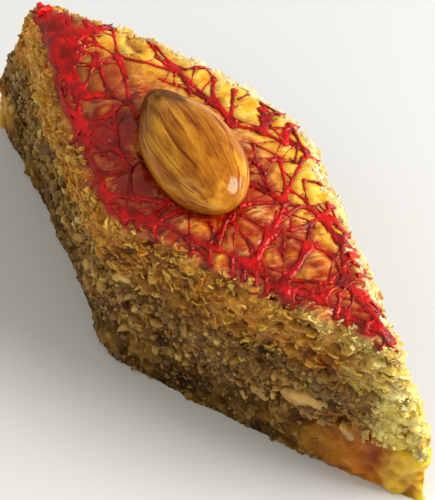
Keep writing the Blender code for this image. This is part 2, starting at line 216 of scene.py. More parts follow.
def layer_block(name, low, high, grid, cap_height=None):
    """A drum drawn out to the plan between two joints, then remeshed into even small faces."""
    deselect_all()
    bpy.ops.mesh.primitive_cylinder_add(vertices=360, radius=1.0, depth=1.0, end_fill_type="NGON")
    block = bpy.context.object
    block.name = name
    bpy.ops.object.mode_set(mode="EDIT")
    select_where(block, "EDGE", lambda edge: abs(edge.verts[0].co.z - edge.verts[1].co.z) > 0.5)
    bpy.ops.mesh.subdivide(number_cuts=SIDE_RINGS)
    select_where(block, "FACE", lambda face: abs(face.normal.z) > 0.5)
    for _ in range(CAP_RINGS - 1):
        bpy.ops.mesh.inset(thickness=1.0 / CAP_RINGS)
    bpy.ops.mesh.poke()
    bpy.ops.object.mode_set(mode="OBJECT")
    spots = points_of(block)
    turn = np.arctan2(spots[:, 1], spots[:, 0]) / (math.pi / 2)
    reach = np.hypot(spots[:, 0], spots[:, 1])
    share = spots[:, 2] + 0.5
    middle = np.array(CENTRING) * MM
    plan = (outline(turn, low + (high - low) * share) - middle) * reach[:, None] + middle
    x, y = plan[:, 0], plan[:, 1]
    # Syrup glues the layers together, so each laps a little into the next.
    bottom = joint(low, x, y) - LAP if low > 0 else np.zeros_like(x)
    top = cap_height(x, y) if cap_height else joint(high, x, y) + LAP
    move_points(block, np.stack([x, y, bottom + (top - bottom) * share], 1))
    apply_modifier(block, "REMESH", mode="VOXEL", voxel_size=grid)
    return block


def finish_piece(piece, look, node=None, angle=60.0):
    """Puts the material on, smooths the shading, and ties the piece to the frame."""
    piece.data.materials.clear()
    piece.data.materials.append(look)
    select_only(piece)
    bpy.ops.object.shade_smooth_by_angle(angle=math.radians(angle))
    piece.select_set(False)
    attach(piece, "root")
    if node:
        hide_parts(node)


def new_look(name, scatter=(0.0, (1.0, 0.2, 0.1), 0.05), **values):
    """A material and its Principled shader; values are set on the shader's own sockets.

    Scatter is the share of light scattered inside, how far each colour goes and a size in metres."""
    look = bpy.data.materials.new(name)
    look.use_nodes = True
    shader = look.node_tree.nodes["Principled BSDF"]
    values |= dict(zip(("Subsurface_Weight", "Subsurface_Radius", "Subsurface_Scale"), scatter))
    for socket, value in values.items():
        shader.inputs[socket.replace("_", " ")].default_value = value
    return look, look.node_tree, shader


def add_node(tree, kind, links=(), **settings):
    """Adds a node; settings name its properties or sockets, links join sockets to others."""
    made = tree.nodes.new(kind)
    for key, value in settings.items():
        if hasattr(made, key):
            setattr(made, key, value)
        else:
            made.inputs[key.replace("_", " ")].default_value = value
    for socket, source in dict(links).items():
        tree.links.new(source, made.inputs[socket])
    return made


def linear(shade):
    """A screen colour from 0 to 255 as the light that a shader takes."""
    return tuple(c / 255 / 12.92 if c < 10.3 else ((c / 255 + 0.055) / 1.055) ** 2.4 for c in shade)


def ramp(tree, source, stops):
    """A colour ramp over a mask, its stops given as (place, screen colour)."""
    made = add_node(tree, "ShaderNodeValToRGB", {"Fac": source})
    elements = made.color_ramp.elements
    while len(elements) < len(stops):
        elements.new(0.5)
    for element, (place, shade) in zip(elements, stops):
        element.position = place
        element.color = (*linear(shade), 1.0)
    return made.outputs["Color"]


def mix(tree, first, second, share, blend="MIX"):
    made = tree.nodes.new("ShaderNodeMix")
    made.data_type = "RGBA"
    made.blend_type = blend
    for place, value in ((0, share), (6, first), (7, second)):
        if isinstance(value, bpy.types.NodeSocket):
            tree.links.new(value, made.inputs[place])
        elif isinstance(value, tuple):
            made.inputs[place].default_value = (*linear(value), 1.0)
        else:
            made.inputs[place].default_value = value
    return made.outputs[2]


def sums(tree, operation, first, second):
    made = add_node(tree, "ShaderNodeMath", operation=operation)
    for place, value in enumerate((first, second)):
        if isinstance(value, bpy.types.NodeSocket):
            tree.links.new(value, made.inputs[place])
        else:
            made.inputs[place].default_value = value
    return made.outputs[0]


def times(tree, first, second):
    return sums(tree, "MULTIPLY", first, second)


def spread(tree, source, low, high, to_low=0.0, to_high=1.0):
    """Draws a range of one value out to another, and stops at its ends."""
    ends = {"From_Min": low, "From_Max": high, "To_Min": to_low, "To_Max": to_high}
    return add_node(tree, "ShaderNodeMapRange", {"Value": source}, **ends).outputs[0]


def mask_of(tree, name):
    return add_node(tree, "ShaderNodeAttribute", attribute_name=name).outputs["Fac"]


def tint(tree, colour, shade, mask, amount=1.0):
    """Mixes a shade into a colour where a mask, or the mask of that name, lets it."""
    if isinstance(mask, str):
        mask = mask_of(tree, mask)
    return mix(tree, colour, shade, times(tree, mask, amount))


def shaded(tree, colour, mask, stops, share=1.0):
    """Darkens a colour by a ramp over a mask."""
    return mix(tree, colour, ramp(tree, mask, stops), share, "MULTIPLY")


def wire_up(tree, shader, colour, height, strength, depth):
    """Joins a colour to the shader, and a bump of that strength and depth."""
    tree.links.new(colour, shader.inputs["Base Color"])
    bumps = add_node(tree, "ShaderNodeBump", {"Height": height}, Strength=strength, Distance=depth)
    tree.links.new(bumps.outputs["Normal"], shader.inputs["Normal"])


def crumb_group():
    """Shared mottling of baked and soaked food: broad patches, crumbs and fine specks."""
    group = bpy.data.node_groups.new("crumb_mottling", "ShaderNodeTree")
    for name in ("Patch Scale", "Crumb Scale", "Speck Scale"):
        group.interface.new_socket(name, in_out="INPUT", socket_type="NodeSocketFloat")
    for name in ("Patches", "Height", "Tones"):
        group.interface.new_socket(name, in_out="OUTPUT", socket_type="NodeSocketFloat")
    given = group.nodes.new("NodeGroupInput").outputs
    where = group.nodes.new("ShaderNodeTexCoord").outputs["Object"]
    patches = add_node(group, "ShaderNodeTexNoise", {"Vector": where, "Scale": given[0]}, Detail=3.0)
    crumbs = add_node(group, "ShaderNodeTexVoronoi", {"Vector": where, "Scale": given[1]})
    specks = add_node(group, "ShaderNodeTexNoise", {"Vector": where, "Scale": given[2]}, Detail=4.0)
    sunk = times(group, crumbs.outputs["Distance"], -CRUMB_DEPTH)
    height = sums(group, "ADD", sunk, specks.outputs["Fac"])
    out = group.nodes.new("NodeGroupOutput").inputs
    group.links.new(patches.outputs["Fac"], out["Patches"])
    group.links.new(height, out["Height"])
    group.links.new(crumbs.outputs["Color"], out["Tones"])
    return group


# How deep the crevices of the bump lie, against its specks.
CRUMB_DEPTH = 0.6
CRUMB = crumb_group()


def mottling(tree, patch, crumb, speck):
    """The outputs of the shared mottling, its patches, crumbs and specks given as so many to a metre."""
    made = tree.nodes.new("ShaderNodeGroup")
    made.node_tree = CRUMB
    for place, value in enumerate((patch, crumb, speck)):
        made.inputs[place].default_value = value
    return made.outputs


def mixed_grains(tree, colour, tones, dark, light, share):
    """Some crumbs darker and some lighter than the colour they lie in."""
    colour = tint(tree, colour, dark, spread(tree, tones, 0.4, 0.22), share)
    return tint(tree, colour, light, spread(tree, tones, 0.6, 0.78), share)


LUMPS_PER_M = 160.0
LUMP_HEIGHT = 0.75


def crumble(spots, coarse, fine, seed, lean, heights):
    """A crumbly cut: its coarse and fine bits, the crevices, and the relief in mm."""
    bits, crevice = chips(spots, coarse, 4.0, lean)
    small, _ = chips(spots, fine, seed, lean)
    relief = heights[0] * (bits - 0.5) + heights[1] * (small - 0.5)
    return bits, small, crevice, relief + LUMP_HEIGHT * grain(spots, LUMPS_PER_M, 7.0)


BASE_GRID = 0.34 * MM
# Crumbs to a metre, coarse and fine, how far they lean and how far they stand out in mm.
BASE_CRUMBS = (420.0, 950.0, 6.0, 0.25, (0.5, 0.3))
# Where the clear syrup begins and is full, at each tip, in mm along X.
NEAR_CLEAR = (29.0, 41.0)
FAR_CLEAR = (-41.0, -48.0)
EDGE_WORN = 0.9 * MM
# Colours: stops of (place, screen colour).
BROWNED = [(0.3, (80, 53, 16)), (0.5, (108, 76, 26)), (0.7, (136, 100, 38))]
BROWNED_GRAINS = ((72, 48, 16), (156, 122, 58), 0.5)
AMBER = [(0.3, (156, 80, 0)), (0.5, (190, 112, 0)), (0.68, (216, 160, 0))]
TIP_GLOW_YELLOW = (244, 214, 64)
BASE_BITS = [(0.0, (170, 158, 130)), (0.6, (228, 220, 200)), (1.0, (255, 252, 236))]
# Painted shade: the next two ramps darken the crumbly and the glassy parts where their relief sinks in.
BASE_HOLLOW_SHADE = [(0.1, (128, 108, 76)), (0.6, (255, 255, 250))]
AMBER_HOLLOW_SHADE = [(0.1, (206, 170, 120)), (0.5, (255, 255, 250))]


def cut_side(out):
    """1 where a layer's skin faces sideways, from its normals, and 0 where it faces up or down."""
    return ease(0.03, 0.3, 1.0 - np.abs(out[:, 2]))


base = layer_block("soaked_base", 0.0, BASE_TOP, BASE_GRID)
spots, out = skin_of(base)
# The +X tip is clear of crumbs, and so is the lower part of the -X tip.
far_clear = ease(*FAR_CLEAR, spots[:, 0] / MM + 5.0 * grain(spots, 200.0, 2.0))
near_clear = ease(*NEAR_CLEAR, spots[:, 0] / MM + 5.0 * grain(spots, 130.0, 5.0))
clear = np.maximum(near_clear, 0.85 * far_clear)
bits, _, _, rough = crumble(spots, *BASE_CRUMBS)
lumps = grain(spots, LUMPS_PER_M, 7.0)
pebbles = grain(spots, 420.0, 2.0)
glassy = 0.75 * lumps + 0.9 * pebbles + 0.5 * grain(spots, 900.0, 1.0)
relief = (rough * (1.0 - clear) + glassy * clear) * MM
# The upright edge at the +X tip is soft.
soft_edge = EDGE_WORN * ease(46.5, 49.5, spots[:, 0] / MM)
placed = spots + out * np.array([1.0, 1.0, 0.3]) * ((relief - soft_edge) * cut_side(out))[:, None]
placed[:, 2] = np.maximum(placed[:, 2], 0.0)
move_points(base, placed)
# Painted glow: the syrup is painted yellow towards the sharp tips, as light shines through the thin +X tip;
# the same mask yellows the -X tip.
tips = np.maximum(spots[:, 0], -0.95 * spots[:, 0]) / MM
tip = ease(41.0, 48.0, tips + 2.0 * pebbles)
keep_masks(base, relief=np.clip(0.5 + relief / (1.8 * MM), 0.0, 1.0), tip=tip, clear=clear, bits=bits)

look, tree, shader = new_look(
    "soaked_pastry", (0.4, (0.9, 0.42, 0.06), 3.0 * MM), Coat_Roughness=0.08, Specular_IOR_Level=0.1,
)
marks = mottling(tree, 130.0, 700.0, 2400.0)
clear_part, relief = mask_of(tree, "clear"), mask_of(tree, "relief")
browned = ramp(tree, marks["Patches"], BROWNED)
browned = shaded(tree, browned, mask_of(tree, "bits"), BASE_BITS)
browned = mixed_grains(tree, browned, marks["Tones"], *BROWNED_GRAINS)
# Painted shade where the crumbly relief sinks in.
browned = shaded(tree, browned, relief, BASE_HOLLOW_SHADE)
# Painted glow of the thin tips, yellow over the amber.
amber = tint(tree, ramp(tree, marks["Patches"], AMBER), TIP_GLOW_YELLOW, "tip", 0.7)
# Painted shade where the glassy relief sinks in.
amber = shaded(tree, amber, relief, AMBER_HOLLOW_SHADE)
tree.links.new(spread(tree, clear_part, 0.0, 1.0, 0.6, 0.3), shader.inputs["Roughness"])
tree.links.new(spread(tree, clear_part, 0.0, 1.0, 0.0, 0.22), shader.inputs["Coat Weight"])
wire_up(tree, shader, mix(tree, browned, amber, clear_part), marks["Height"], 0.6, 0.5 * MM)
finish_piece(base, look, "pastry_base")


# Nut filling
# A thick layer of walnuts and hazelnuts chopped fine with sugar, damp with syrup. It fills the
# piece from cut to cut, and broken nuts and crumbs of many sizes stand out of the knife's face.

FILLING_GRID = 0.34 * MM
FILLING_CRUMBS = (430.0, 950.0, 8.0, 0.3, (0.75, 0.4))
PIT_DEPTH = 0.45
# How high the syrup stands in the nuts near the tips, and how much lower at the very tip, in mm.
SYRUP_LEVEL, SYRUP_FALL = 12.6, 2.0
# Colours: stops of (place, screen colour).
NUT_PASTE = [(0.32, (78, 46, 12)), (0.44, (112, 74, 24)), (0.56, (150, 106, 38)), (0.7, (190, 150, 68))]
NUT_GRAINS = ((88, 56, 20), (206, 168, 92), 0.5)
PASTRY_GOLD = (176, 124, 44)
NUT_BITS = [(0.0, (180, 168, 142)), (0.5, (222, 213, 192)), (1.0, (250, 247, 228))]
CREAM_AND_TIP_GLOW = [(0.32, (230, 194, 84)), (0.5, (248, 224, 120)), (0.7, (254, 244, 176))]
SYRUP = [(0.3, (170, 92, 2)), (0.5, (202, 128, 4)), (0.68, (228, 176, 14))]
# Painted shade: the next ramp darkens the paste where its relief sinks in.
NUT_HOLLOW_SHADE = [(0.05, (136, 108, 70)), (0.4, (212, 196, 162)), (0.65, (255, 255, 246))]

filling = layer_block("chopped_filling", BASE_TOP, FILLING_TOP, FILLING_GRID)
spots, out = skin_of(filling)
along, height = spots[:, 0] / MM, spots[:, 2] / MM
bits, _, crevice, push = crumble(spots, *FILLING_CRUMBS)
pits = ease(0.16, 0.06, bits) * ease(0.0, 0.25, crevice)
push = (push - PIT_DEPTH * pits) * MM * cut_side(out)
move_points(filling, spots + out * np.array([1.0, 1.0, 0.25]) * push[:, None])
keep_masks(filling, relief=np.clip(0.6 + push / (2.6 * MM), 0.0, 1.0))
keep_masks(filling, bits=bits)
# Low down at both tips the nuts are drowned in the same clear syrup as the base.
far_wet = 0.8 * ease(-43.0, -48.0, along + 5.0 * grain(spots, 200.0, 2.0))
level = SYRUP_LEVEL - SYRUP_FALL * ease(40.0, 44.0, along)
wet = np.maximum(ease(30.0, 42.0, along + 5.0 * grain(spots, 130.0, 5.0)), far_wet)
soaked = wet * ease(level, level - 2.2, height + 1.6 * grain(spots, 300.0, 1.0))
keep_masks(filling, soaked=soaked)
# Above that, at the very tip, soft pale crumbs cover the nuts, and their paleness is partly the painted glow
# of the lit tip.
keep_masks(filling, pale=ease(39.5, 42.0, along + 2.0 * grain(spots, 260.0, 4.0)) * (1.0 - soaked))
# Its upper edge takes on the gold of the pastry above.
keep_masks(filling, golden=ease(15.6, 18.4, height + 1.6 * grain(spots, 240.0, 3.0)))

look, tree, shader = new_look(
    "nut_paste", (0.4, (0.8, 0.45, 0.12), 1.8 * MM),
    Roughness=0.6, Coat_Weight=0.08, Coat_Roughness=0.2, Specular_IOR_Level=0.3,
)
marks = mottling(tree, 165.0, 1000.0, 2600.0)
colour = tint(tree, ramp(tree, marks["Patches"], NUT_PASTE), PASTRY_GOLD, "golden", 0.8)
colour = shaded(tree, colour, mask_of(tree, "bits"), NUT_BITS)
colour = mixed_grains(tree, colour, marks["Tones"], *NUT_GRAINS)
# Pale crumbs at the tip, partly painted glow.
colour = tint(tree, colour, ramp(tree, marks["Patches"], CREAM_AND_TIP_GLOW), "pale")
colour = tint(tree, colour, ramp(tree, marks["Patches"], SYRUP), "soaked")
# Painted shade where the relief sinks in.
colour = shaded(tree, colour, mask_of(tree, "relief"), NUT_HOLLOW_SHADE)
wire_up(tree, shader, colour, marks["Height"], 0.8, 0.9 * MM)
finish_piece(filling, look, "nut_filling")


def edit_whole(step, **settings):
    """Runs one operator in edit mode on the whole of the active mesh."""
    bpy.ops.object.mode_set(mode="EDIT")
    bpy.ops.mesh.select_all(action="SELECT")
    step(**settings)
    bpy.ops.object.mode_set(mode="OBJECT")


def mesh_arrays(obj):
    """A small closed shape's points and triangles; the object itself is then removed."""
    edit_whole(bpy.ops.mesh.quads_convert_to_tris)
    edit_whole(bpy.ops.mesh.normals_make_consistent, inside=False)
    faces = np.array([face.vertices for face in obj.data.polygons])
    points = points_of(obj)
    bpy.data.objects.remove(obj)
    return points, faces


def nut_shapes(seed, count):
    """Broken bits: small balls of twenty flat faces, each knocked out of shape."""
    shapes = []
    for index in range(count):
        deselect_all()
        bpy.ops.mesh.primitive_ico_sphere_add(subdivisions=1, radius=1.0)
        bit = bpy.context.object
        edit_whole(bpy.ops.transform.vertex_random, offset=0.45, uniform=0.7, normal=0.3, seed=seed + index)
        shapes.append(mesh_arrays(bit))
    return shapes


def mesh_piece(name, points, faces):
    mesh = bpy.data.meshes.new(name)
    mesh.from_pydata(points.tolist(), [], faces.tolist())
    mesh.update()
    return new_object(name, mesh)


def copies(name, shapes, draw, places):
    """One mesh of many copies; places yields (spot, turn, size) for each."""
    all_points, all_faces, tones, first = [], [], [], 0
    for spot, turn, size in places:
        points, faces = shapes[draw.randrange(len(shapes))]
        placed = (points * np.array(size)) @ np.array(turn.to_matrix()).T + np.array(spot)
        all_points.append(placed)
        all_faces.append(faces + first)
        tones.append(np.full(len(points), draw.random()))
        first += len(points)
    piece = mesh_piece(name, np.concatenate(all_points), np.concatenate(all_faces))
    keep_masks(piece, tone=np.concatenate(tones))
    return piece


def spin(axis, angle):
    return Quaternion([float(axis == name) for name in "XYZ"], angle)


def any_turn(draw):
    axis = Vector([draw.gauss(0.0, 1.0) for _ in range(3)]).normalized()
    return Quaternion(axis, draw.uniform(0.0, 2.0 * math.pi))


def side_frame(turn, level):
    """A place on the cut side, the way out of it and the way along it."""
    spot = outline(np.array([turn, turn + 0.01]), np.array([level, level]))
    along = (spot[1] - spot[0]) / np.hypot(*(spot[1] - spot[0]))
    return spot[0], np.array([along[1], -along[0]]), along


def side_places(draw, layer, count, sizes, sink, squash=(0.6, 1.0), flat=False):
    """Places on a layer's finished cut side, each bit pushed in by a part of its own size."""
    spots, out = skin_of(layer)
    open_side = np.nonzero((np.abs(out[:, 2]) < 0.75) & (rim_share(spots[:, 0], spots[:, 1]) > 0.8))[0]
    for _ in range(count):
        pick = open_side[draw.randrange(len(open_side))]
        size = sizes[0] + (sizes[1] - sizes[0]) * draw.random() ** 2.5
        place = spots[pick] - out[pick] * size * draw.uniform(*sink)
        place[2] = max(place[2], size)
        shape = (size, size * draw.uniform(*squash), size * draw.uniform(*squash))
        if flat:
            # Leaves lie roughly level, along the cut, and tip a little each their own way.
            way = spin("Z", math.atan2(-out[pick][0], out[pick][1]) + draw.gauss(0.0, 0.6))
            tip = spin("X", draw.gauss(0.0, 0.7))
            yield tuple(place), way @ tip @ spin("Y", draw.gauss(0.0, 0.4)), shape
        else:
            yield tuple(place), any_turn(draw), shape


# The shared mottling's scales on bits under a millimetre or two.
FINE_CRUMBS = (500.0, 1500.0, 3000.0)


def nut_look(name, dark, light, rough=0.42):
    look, tree, shader = new_look(
        name, (0.5, (0.9, 0.7, 0.3), 1.6 * MM), Roughness=rough, Coat_Weight=0.12, Coat_Roughness=0.15,
    )
    marks = mottling(tree, *FINE_CRUMBS)
    own = ramp(tree, mask_of(tree, "tone"), [(0.0, dark), (1.0, light)])
    # Cream-coloured crumbs cover the nuts at the +X tip, painted pale also as the glow of the lit tip.
    where = tree.nodes.new("ShaderNodeTexCoord").outputs["Object"]
    apart = add_node(tree, "ShaderNodeSeparateXYZ", {"Vector": where})
    own = mix(tree, own, (250, 226, 140), spread(tree, apart.outputs["X"], 0.039, 0.042, 0.0, 0.9))
    own = shaded(tree, own, marks["Patches"], [(0.35, (214, 200, 170)), (0.6, (255, 254, 246))])
    wire_up(tree, shader, own, marks["Height"], 0.4, 0.3 * MM)
    return look


# Name, the layer it sticks to, how many, least and largest half size in mm, how deep they are
# pushed in against their own size, and the darkest and lightest colour.
NUT_KINDS = (
    ("walnut_crumbs", filling, 3600, (0.2, 1.0), (-0.1, 0.7), (108, 70, 22), (170, 126, 50)),
    ("green_nut_bits", filling, 260, (0.3, 0.8), (0.0, 0.6), (142, 116, 24), (206, 180, 70)),
    ("hazelnut_bits", filling, 450, (0.35, 1.2), (0.0, 0.6), (168, 124, 52), (226, 192, 112)),
    ("stuck_crumbs", base, 1600, (0.2, 0.7), (0.0, 0.7), (92, 62, 22), (156, 116, 46)),
)
for kind, (name, layer, count, sizes, sink, dark, light) in enumerate(NUT_KINDS):
    draw = random.Random(40 + kind)
    sizes = tuple(size * MM for size in sizes)
    places = list(side_places(draw, layer, count, sizes, sink))
    if name == "stuck_crumbs":
        # None stick to the glassy tips.
        places = [place for place in places if -42.0 < place[0][0] / MM < 34.0]
    bits = copies(name, nut_shapes(100 * kind, 12), draw, places)
    finish_piece(bits, nut_look(name, dark, light), angle=75.0)

# The large pieces of nut that show on the near side and at the tips:
# turn round the plan, height, half length, half width and half depth in mm.
LARGE_NUTS = (
    (3.07, 17.6, 1.5, 1.0, 0.9), (3.41, 8.6, 1.3, 0.9, 0.8), (3.50, 8.6, 2.1, 1.5, 1.2),
    (3.45, 6.6, 1.2, 0.8, 0.8), (3.63, 10.8, 4.4, 3.0, 1.5), (3.71, 16.0, 1.8, 1.3, 1.1),
    (3.81, 17.6, 1.7, 0.9, 0.9), (3.66, 6.2, 1.6, 1.1, 1.0), (3.76, 8.4, 2.2, 1.3, 1.0),
    (3.30, 13.6, 1.2, 0.8, 0.7), (3.18, 12.2, 1.1, 0.9, 0.7), (0.02, 15.6, 1.9, 1.3, 1.3),
    (0.10, 12.4, 1.6, 1.2, 1.0), (2.06, 13.8, 2.2, 1.4, 1.2), (2.40, 12.0, 1.6, 1.0, 0.8),
    (2.62, 14.6, 1.4, 0.9, 0.8), (0.45, 12.8, 1.8, 1.2, 1.0), (1.20, 13.0, 2.0, 1.4, 1.0),
    (1.66, 11.6, 1.6, 1.2, 1.0), (0.78, 15.0, 1.5, 1.1, 0.9), (3.90, 13.4, 1.1, 1.7, 1.1),
    (3.94, 15.8, 1.5, 1.2, 1.2), (3.96, 12.2, 1.3, 1.6, 1.2), (3.99, 14.4, 1.6, 1.4, 1.6),
)
draw = random.Random(60)
places = []
for turn, level, *half in LARGE_NUTS:
    spot, outward, along = side_frame(turn, level * MM)
    way = spin("Z", math.atan2(along[1], along[0]))
    tip = spin("Y", draw.gauss(0.0, 0.4))
    plan = spot - outward * half[2] * 0.3 * MM
    places.append(((*plan, level * MM), way @ tip, (half[0] * MM, half[2] * MM, half[1] * MM)))
large = copies("large_nut_pieces", nut_shapes(700, 8), draw, places)
apply_modifier(large, "SUBSURF", levels=2, render_levels=2)
spots, out = skin_of(large)
move_points(large, spots + out * 0.12 * MM * grain(spots, 700.0, 2.0)[:, None])
finish_piece(large, nut_look("large_nut_flesh", (158, 116, 52), (216, 178, 104), 0.4))


# Flaky pastry top
# Thin leaves of dough puffed into an open crumb at the cut sides. The top face is glazed: it
# swells between the net's strands, amber and glassy, and stays lumpy and bare along its rim.

ALMOND_LENGTH = 25.0 * MM
ALMOND_WIDTH = 13.2 * MM
ALMOND_THICKNESS = 9.2 * MM
ALMOND_X = (-2.2 + CENTRING[0]) * MM
ALMOND_Y = (-0.6 + CENTRING[1]) * MM
ALMOND_TURN = math.radians(-15.5)
ALMOND_SUNK = 2.2 * MM
ALMOND_HEIGHT = PIECE_HEIGHT + CROWN + ALMOND_THICKNESS / 2 - ALMOND_SUNK
TOP_GRID = 0.29 * MM
RIM_DROP = 1.3 * MM
TOP_WAVE = 0.45 * MM
HOLLOW_SPARE = 0.5 * MM
HOLLOW_GAP = 0.35 * MM
PUFF_HEIGHT = 0.3 * MM
CREASE_HEIGHT = 0.14 * MM
TOP_CRUMBS = ((520.0, 520.0, 900.0), (1100.0, 1100.0, 1700.0), 8.0, 0.35, (0.55, 0.4))
# Pools of dye: the middle in the plan and the reach, in mm, and the strength. The two beside the almond, on
# its shaded side, are partly its painted shadow.
DYE_POOLS_AND_SHADOW = ((-36.0, 3.6, 8.0, 0.85), (-13.5, -6.0, 7.0, 1.0), (-5.0, -8.8, 5.0, 0.75), (-25.0, 0.0, 9.0, 0.75))
# Colours: stops of (place, screen colour).
TOP_CRUMB = [(0.3, (172, 102, 20)), (0.48, (202, 132, 38)), (0.62, (222, 162, 62)), (0.78, (238, 194, 94))]
TOP_GRAINS = ((150, 96, 28), (240, 202, 116), 0.5)
# The third colour on the next line is a painted highlight, near white, on the far rim.
FAR_TIP, LOW_CRUMB, FAR_RIM_HIGHLIGHT = (252, 178, 100), (146, 98, 34), (255, 250, 232)
# Painted light: the pale crumb colour where the window lights the upper edge and the +X tip glows.
SUNNY = [(0.32, (232, 198, 98)), (0.5, (250, 230, 146)), (0.7, (255, 250, 204))]
TOP_BITS = [(0.0, (172, 158, 130)), (0.5, (226, 216, 196)), (1.0, (255, 254, 240))]
# Painted shade for the sunk parts of the crumbly relief.
TOP_HOLLOW_SHADE = [(0.05, (132, 96, 54)), (0.42, (214, 194, 160)), (0.65, (255, 255, 248))]
GLAZE = [(0.34, (118, 20, 0)), (0.46, (160, 42, 0)), (0.56, (190, 84, 4)), (0.7, (222, 148, 34))]
# Painted glow for the glaze that faces the window lamp.
WINDOW_GLOW_GLAZE = [(0.34, (218, 140, 8)), (0.5, (238, 190, 46)), (0.66, (248, 224, 108))]
RED_STAIN_AND_SHADOW = [(0.35, (124, 0, 0)), (0.55, (168, 8, 4)), (0.75, (200, 40, 12))]
CREAMY_LEAVES_AND_SHEEN, RED_DASHES = (246, 200, 124), (150, 16, 4)

# The camera that took the piece: it also says where on the top face a seen point lies.
CAMERA_AZIMUTH = math.radians(48.06)
CAMERA_ELEVATION = math.radians(48.21)
CAMERA_ROLL = math.radians(1.46)
CAMERA_DISTANCE = 263.9 * MM
CAMERA_LENS = 129.6
CAMERA_SENSOR = 36.0
CAMERA_SHIFT = (0.034, -0.029)
AIM = Vector((CENTRING[0] * MM, CENTRING[1] * MM, 13.3 * MM))
TOWARDS_CAMERA = Vector((
    math.sin(CAMERA_AZIMUTH) * math.cos(CAMERA_ELEVATION),
    -math.cos(CAMERA_AZIMUTH) * math.cos(CAMERA_ELEVATION),
    math.sin(CAMERA_ELEVATION),
))
CAMERA_PLACE = AIM + TOWARDS_CAMERA * CAMERA_DISTANCE
CAMERA_TURN = TOWARDS_CAMERA.to_track_quat("Z", "Y") @ spin("Z", CAMERA_ROLL)
# Width and height of the picture in pixels.
PICTURE = (435.0, 500.0)

# The net's strands as the picture shows them: each runs from pixel to pixel.
THICK_STRANDS = (
    (214, 104, 231, 122), (262, 111, 266, 121, 262, 132), (322, 219, 341, 241, 359, 254),
    (253, 266, 269, 235), (281, 287, 307, 249), (345, 284, 360, 298, 388, 337), (52, 15, 52, 42, 52, 59),
    (52, 15, 74, 49, 64, 73), (52, 59, 64, 73), (81, 125, 101, 176), (130, 215, 151, 222),
    (139, 224, 151, 222), (30, 17, 48, 27), (46, 18, 60, 20), (48, 27, 68, 31), (46, 36, 60, 62),
    (56, 30, 70, 62), (66, 34, 77, 60), (52, 34, 76, 34), (60, 62, 72, 90), (66, 60, 84, 96),
    (334, 222, 348, 236),
)
MIDDLE_STRANDS = (
    (151, 222, 156, 242), (190, 241, 192, 253), (209, 250, 210, 265), (244, 262, 243, 281),
    (254, 268, 255, 294), (285, 288, 286, 303), (214, 104, 190, 91), (214, 104, 214, 80),
    (234, 91, 232, 126, 262, 132, 309, 153), (280, 114, 266, 119), (280, 162, 284, 200),
    (303, 159, 283, 200), (284, 203, 246, 184), (284, 203, 310, 209), (284, 203, 229, 211),
    (322, 219, 337, 207), (310, 209, 322, 219), (341, 241, 345, 284), (229, 213, 217, 249),
    (272, 233, 334, 257, 364, 271), (190, 241, 253, 266, 281, 287), (321, 301, 345, 284),
    (281, 287, 321, 301, 389, 338), (336, 317, 339, 295), (52, 2, 52, 15), (42, 27, 52, 42),
    (66, 12, 71, 32, 74, 49), (71, 37, 113, 29), (113, 16, 118, 59, 128, 103), (96, 56, 110, 95),
    (64, 73, 79, 98, 81, 125, 118, 152), (118, 57, 176, 72), (176, 71, 147, 39),
    (176, 71, 186, 81, 214, 104), (137, 28, 150, 44), (57, 81, 66, 110, 81, 125),
    (101, 176, 103, 193, 130, 215), (151, 222, 190, 241), (106, 196, 167, 203), (74, 49, 96, 56),
    (79, 98, 110, 95), (155, 223, 187, 208, 229, 211), (167, 203, 187, 208), (92, 34, 96, 44),
    (86, 22, 92, 34), (71, 32, 92, 34, 113, 29), (157, 59, 176, 71),
)
THIN_STRANDS = (
    (232, 258, 232, 279), (266, 280, 268, 301), (293, 292, 292, 312), (103, 193, 112, 222),
    (122, 209, 124, 226), (81, 125, 74, 141), (101, 176, 92, 190), (64, 73, 56, 88), (345, 309, 348, 325),
    (366, 326, 364, 338), (239, 100, 255, 96, 262, 105), (287, 129, 285, 145),
    (292, 129, 299, 145, 304, 152), (287, 129, 295, 130), (253, 145, 255, 164, 265, 173, 268, 189),
    (244, 162, 274, 160, 300, 164), (310, 209, 337, 207), (304, 181, 308, 205), (304, 181, 321, 185),
    (229, 213, 254, 249), (229, 211, 272, 233), (283, 233, 284, 282), (277, 213, 272, 233),
    (284, 203, 272, 233), (291, 231, 311, 224), (307, 249, 311, 224, 322, 219),
    (299, 281, 345, 284, 364, 283), (300, 287, 329, 298), (360, 298, 400, 314), (388, 337, 405, 346),
    (388, 337, 381, 350), (359, 311, 400, 317), (334, 257, 345, 284), (26, 15, 42, 27),
    (76, 49, 96, 44, 118, 57), (81, 125, 113, 112, 128, 103), (176, 71, 213, 71), (123, 32, 137, 28),
    (150, 44, 157, 59), (113, 29, 123, 32), (86, 137, 130, 171), (118, 152, 130, 171, 133, 200),
    (101, 176, 130, 171), (96, 56, 79, 98), (110, 95, 128, 103, 140, 118), (187, 208, 190, 241),
    (210, 224, 218, 240), (151, 222, 167, 203), (113, 112, 118, 152, 133, 160), (200, 212, 229, 222),
    (186, 81, 190, 91, 160, 80), (118, 57, 128, 80), (246, 184, 268, 189, 284, 203), (245, 162, 246, 184),
)
# Middle and end radius of a strand of each kind, in mm.
STRAND_RADII = ((THICK_STRANDS, 0.4, 0.72), (MIDDLE_STRANDS, 0.24, 0.44), (THIN_STRANDS, 0.15, 0.24))
# Pairs of places tried for a hair-thin strand, how long one is, and how many broken ends there are.
HAIR_TRIES = 5000
HAIR_SPAN = (1.0 * MM, 5.5 * MM)
BROKEN_ENDS = 260
NET_STEP = 0.115 * MM
NET_HALF_X, NET_HALF_Y = 47.0 * MM, 21.0 * MM


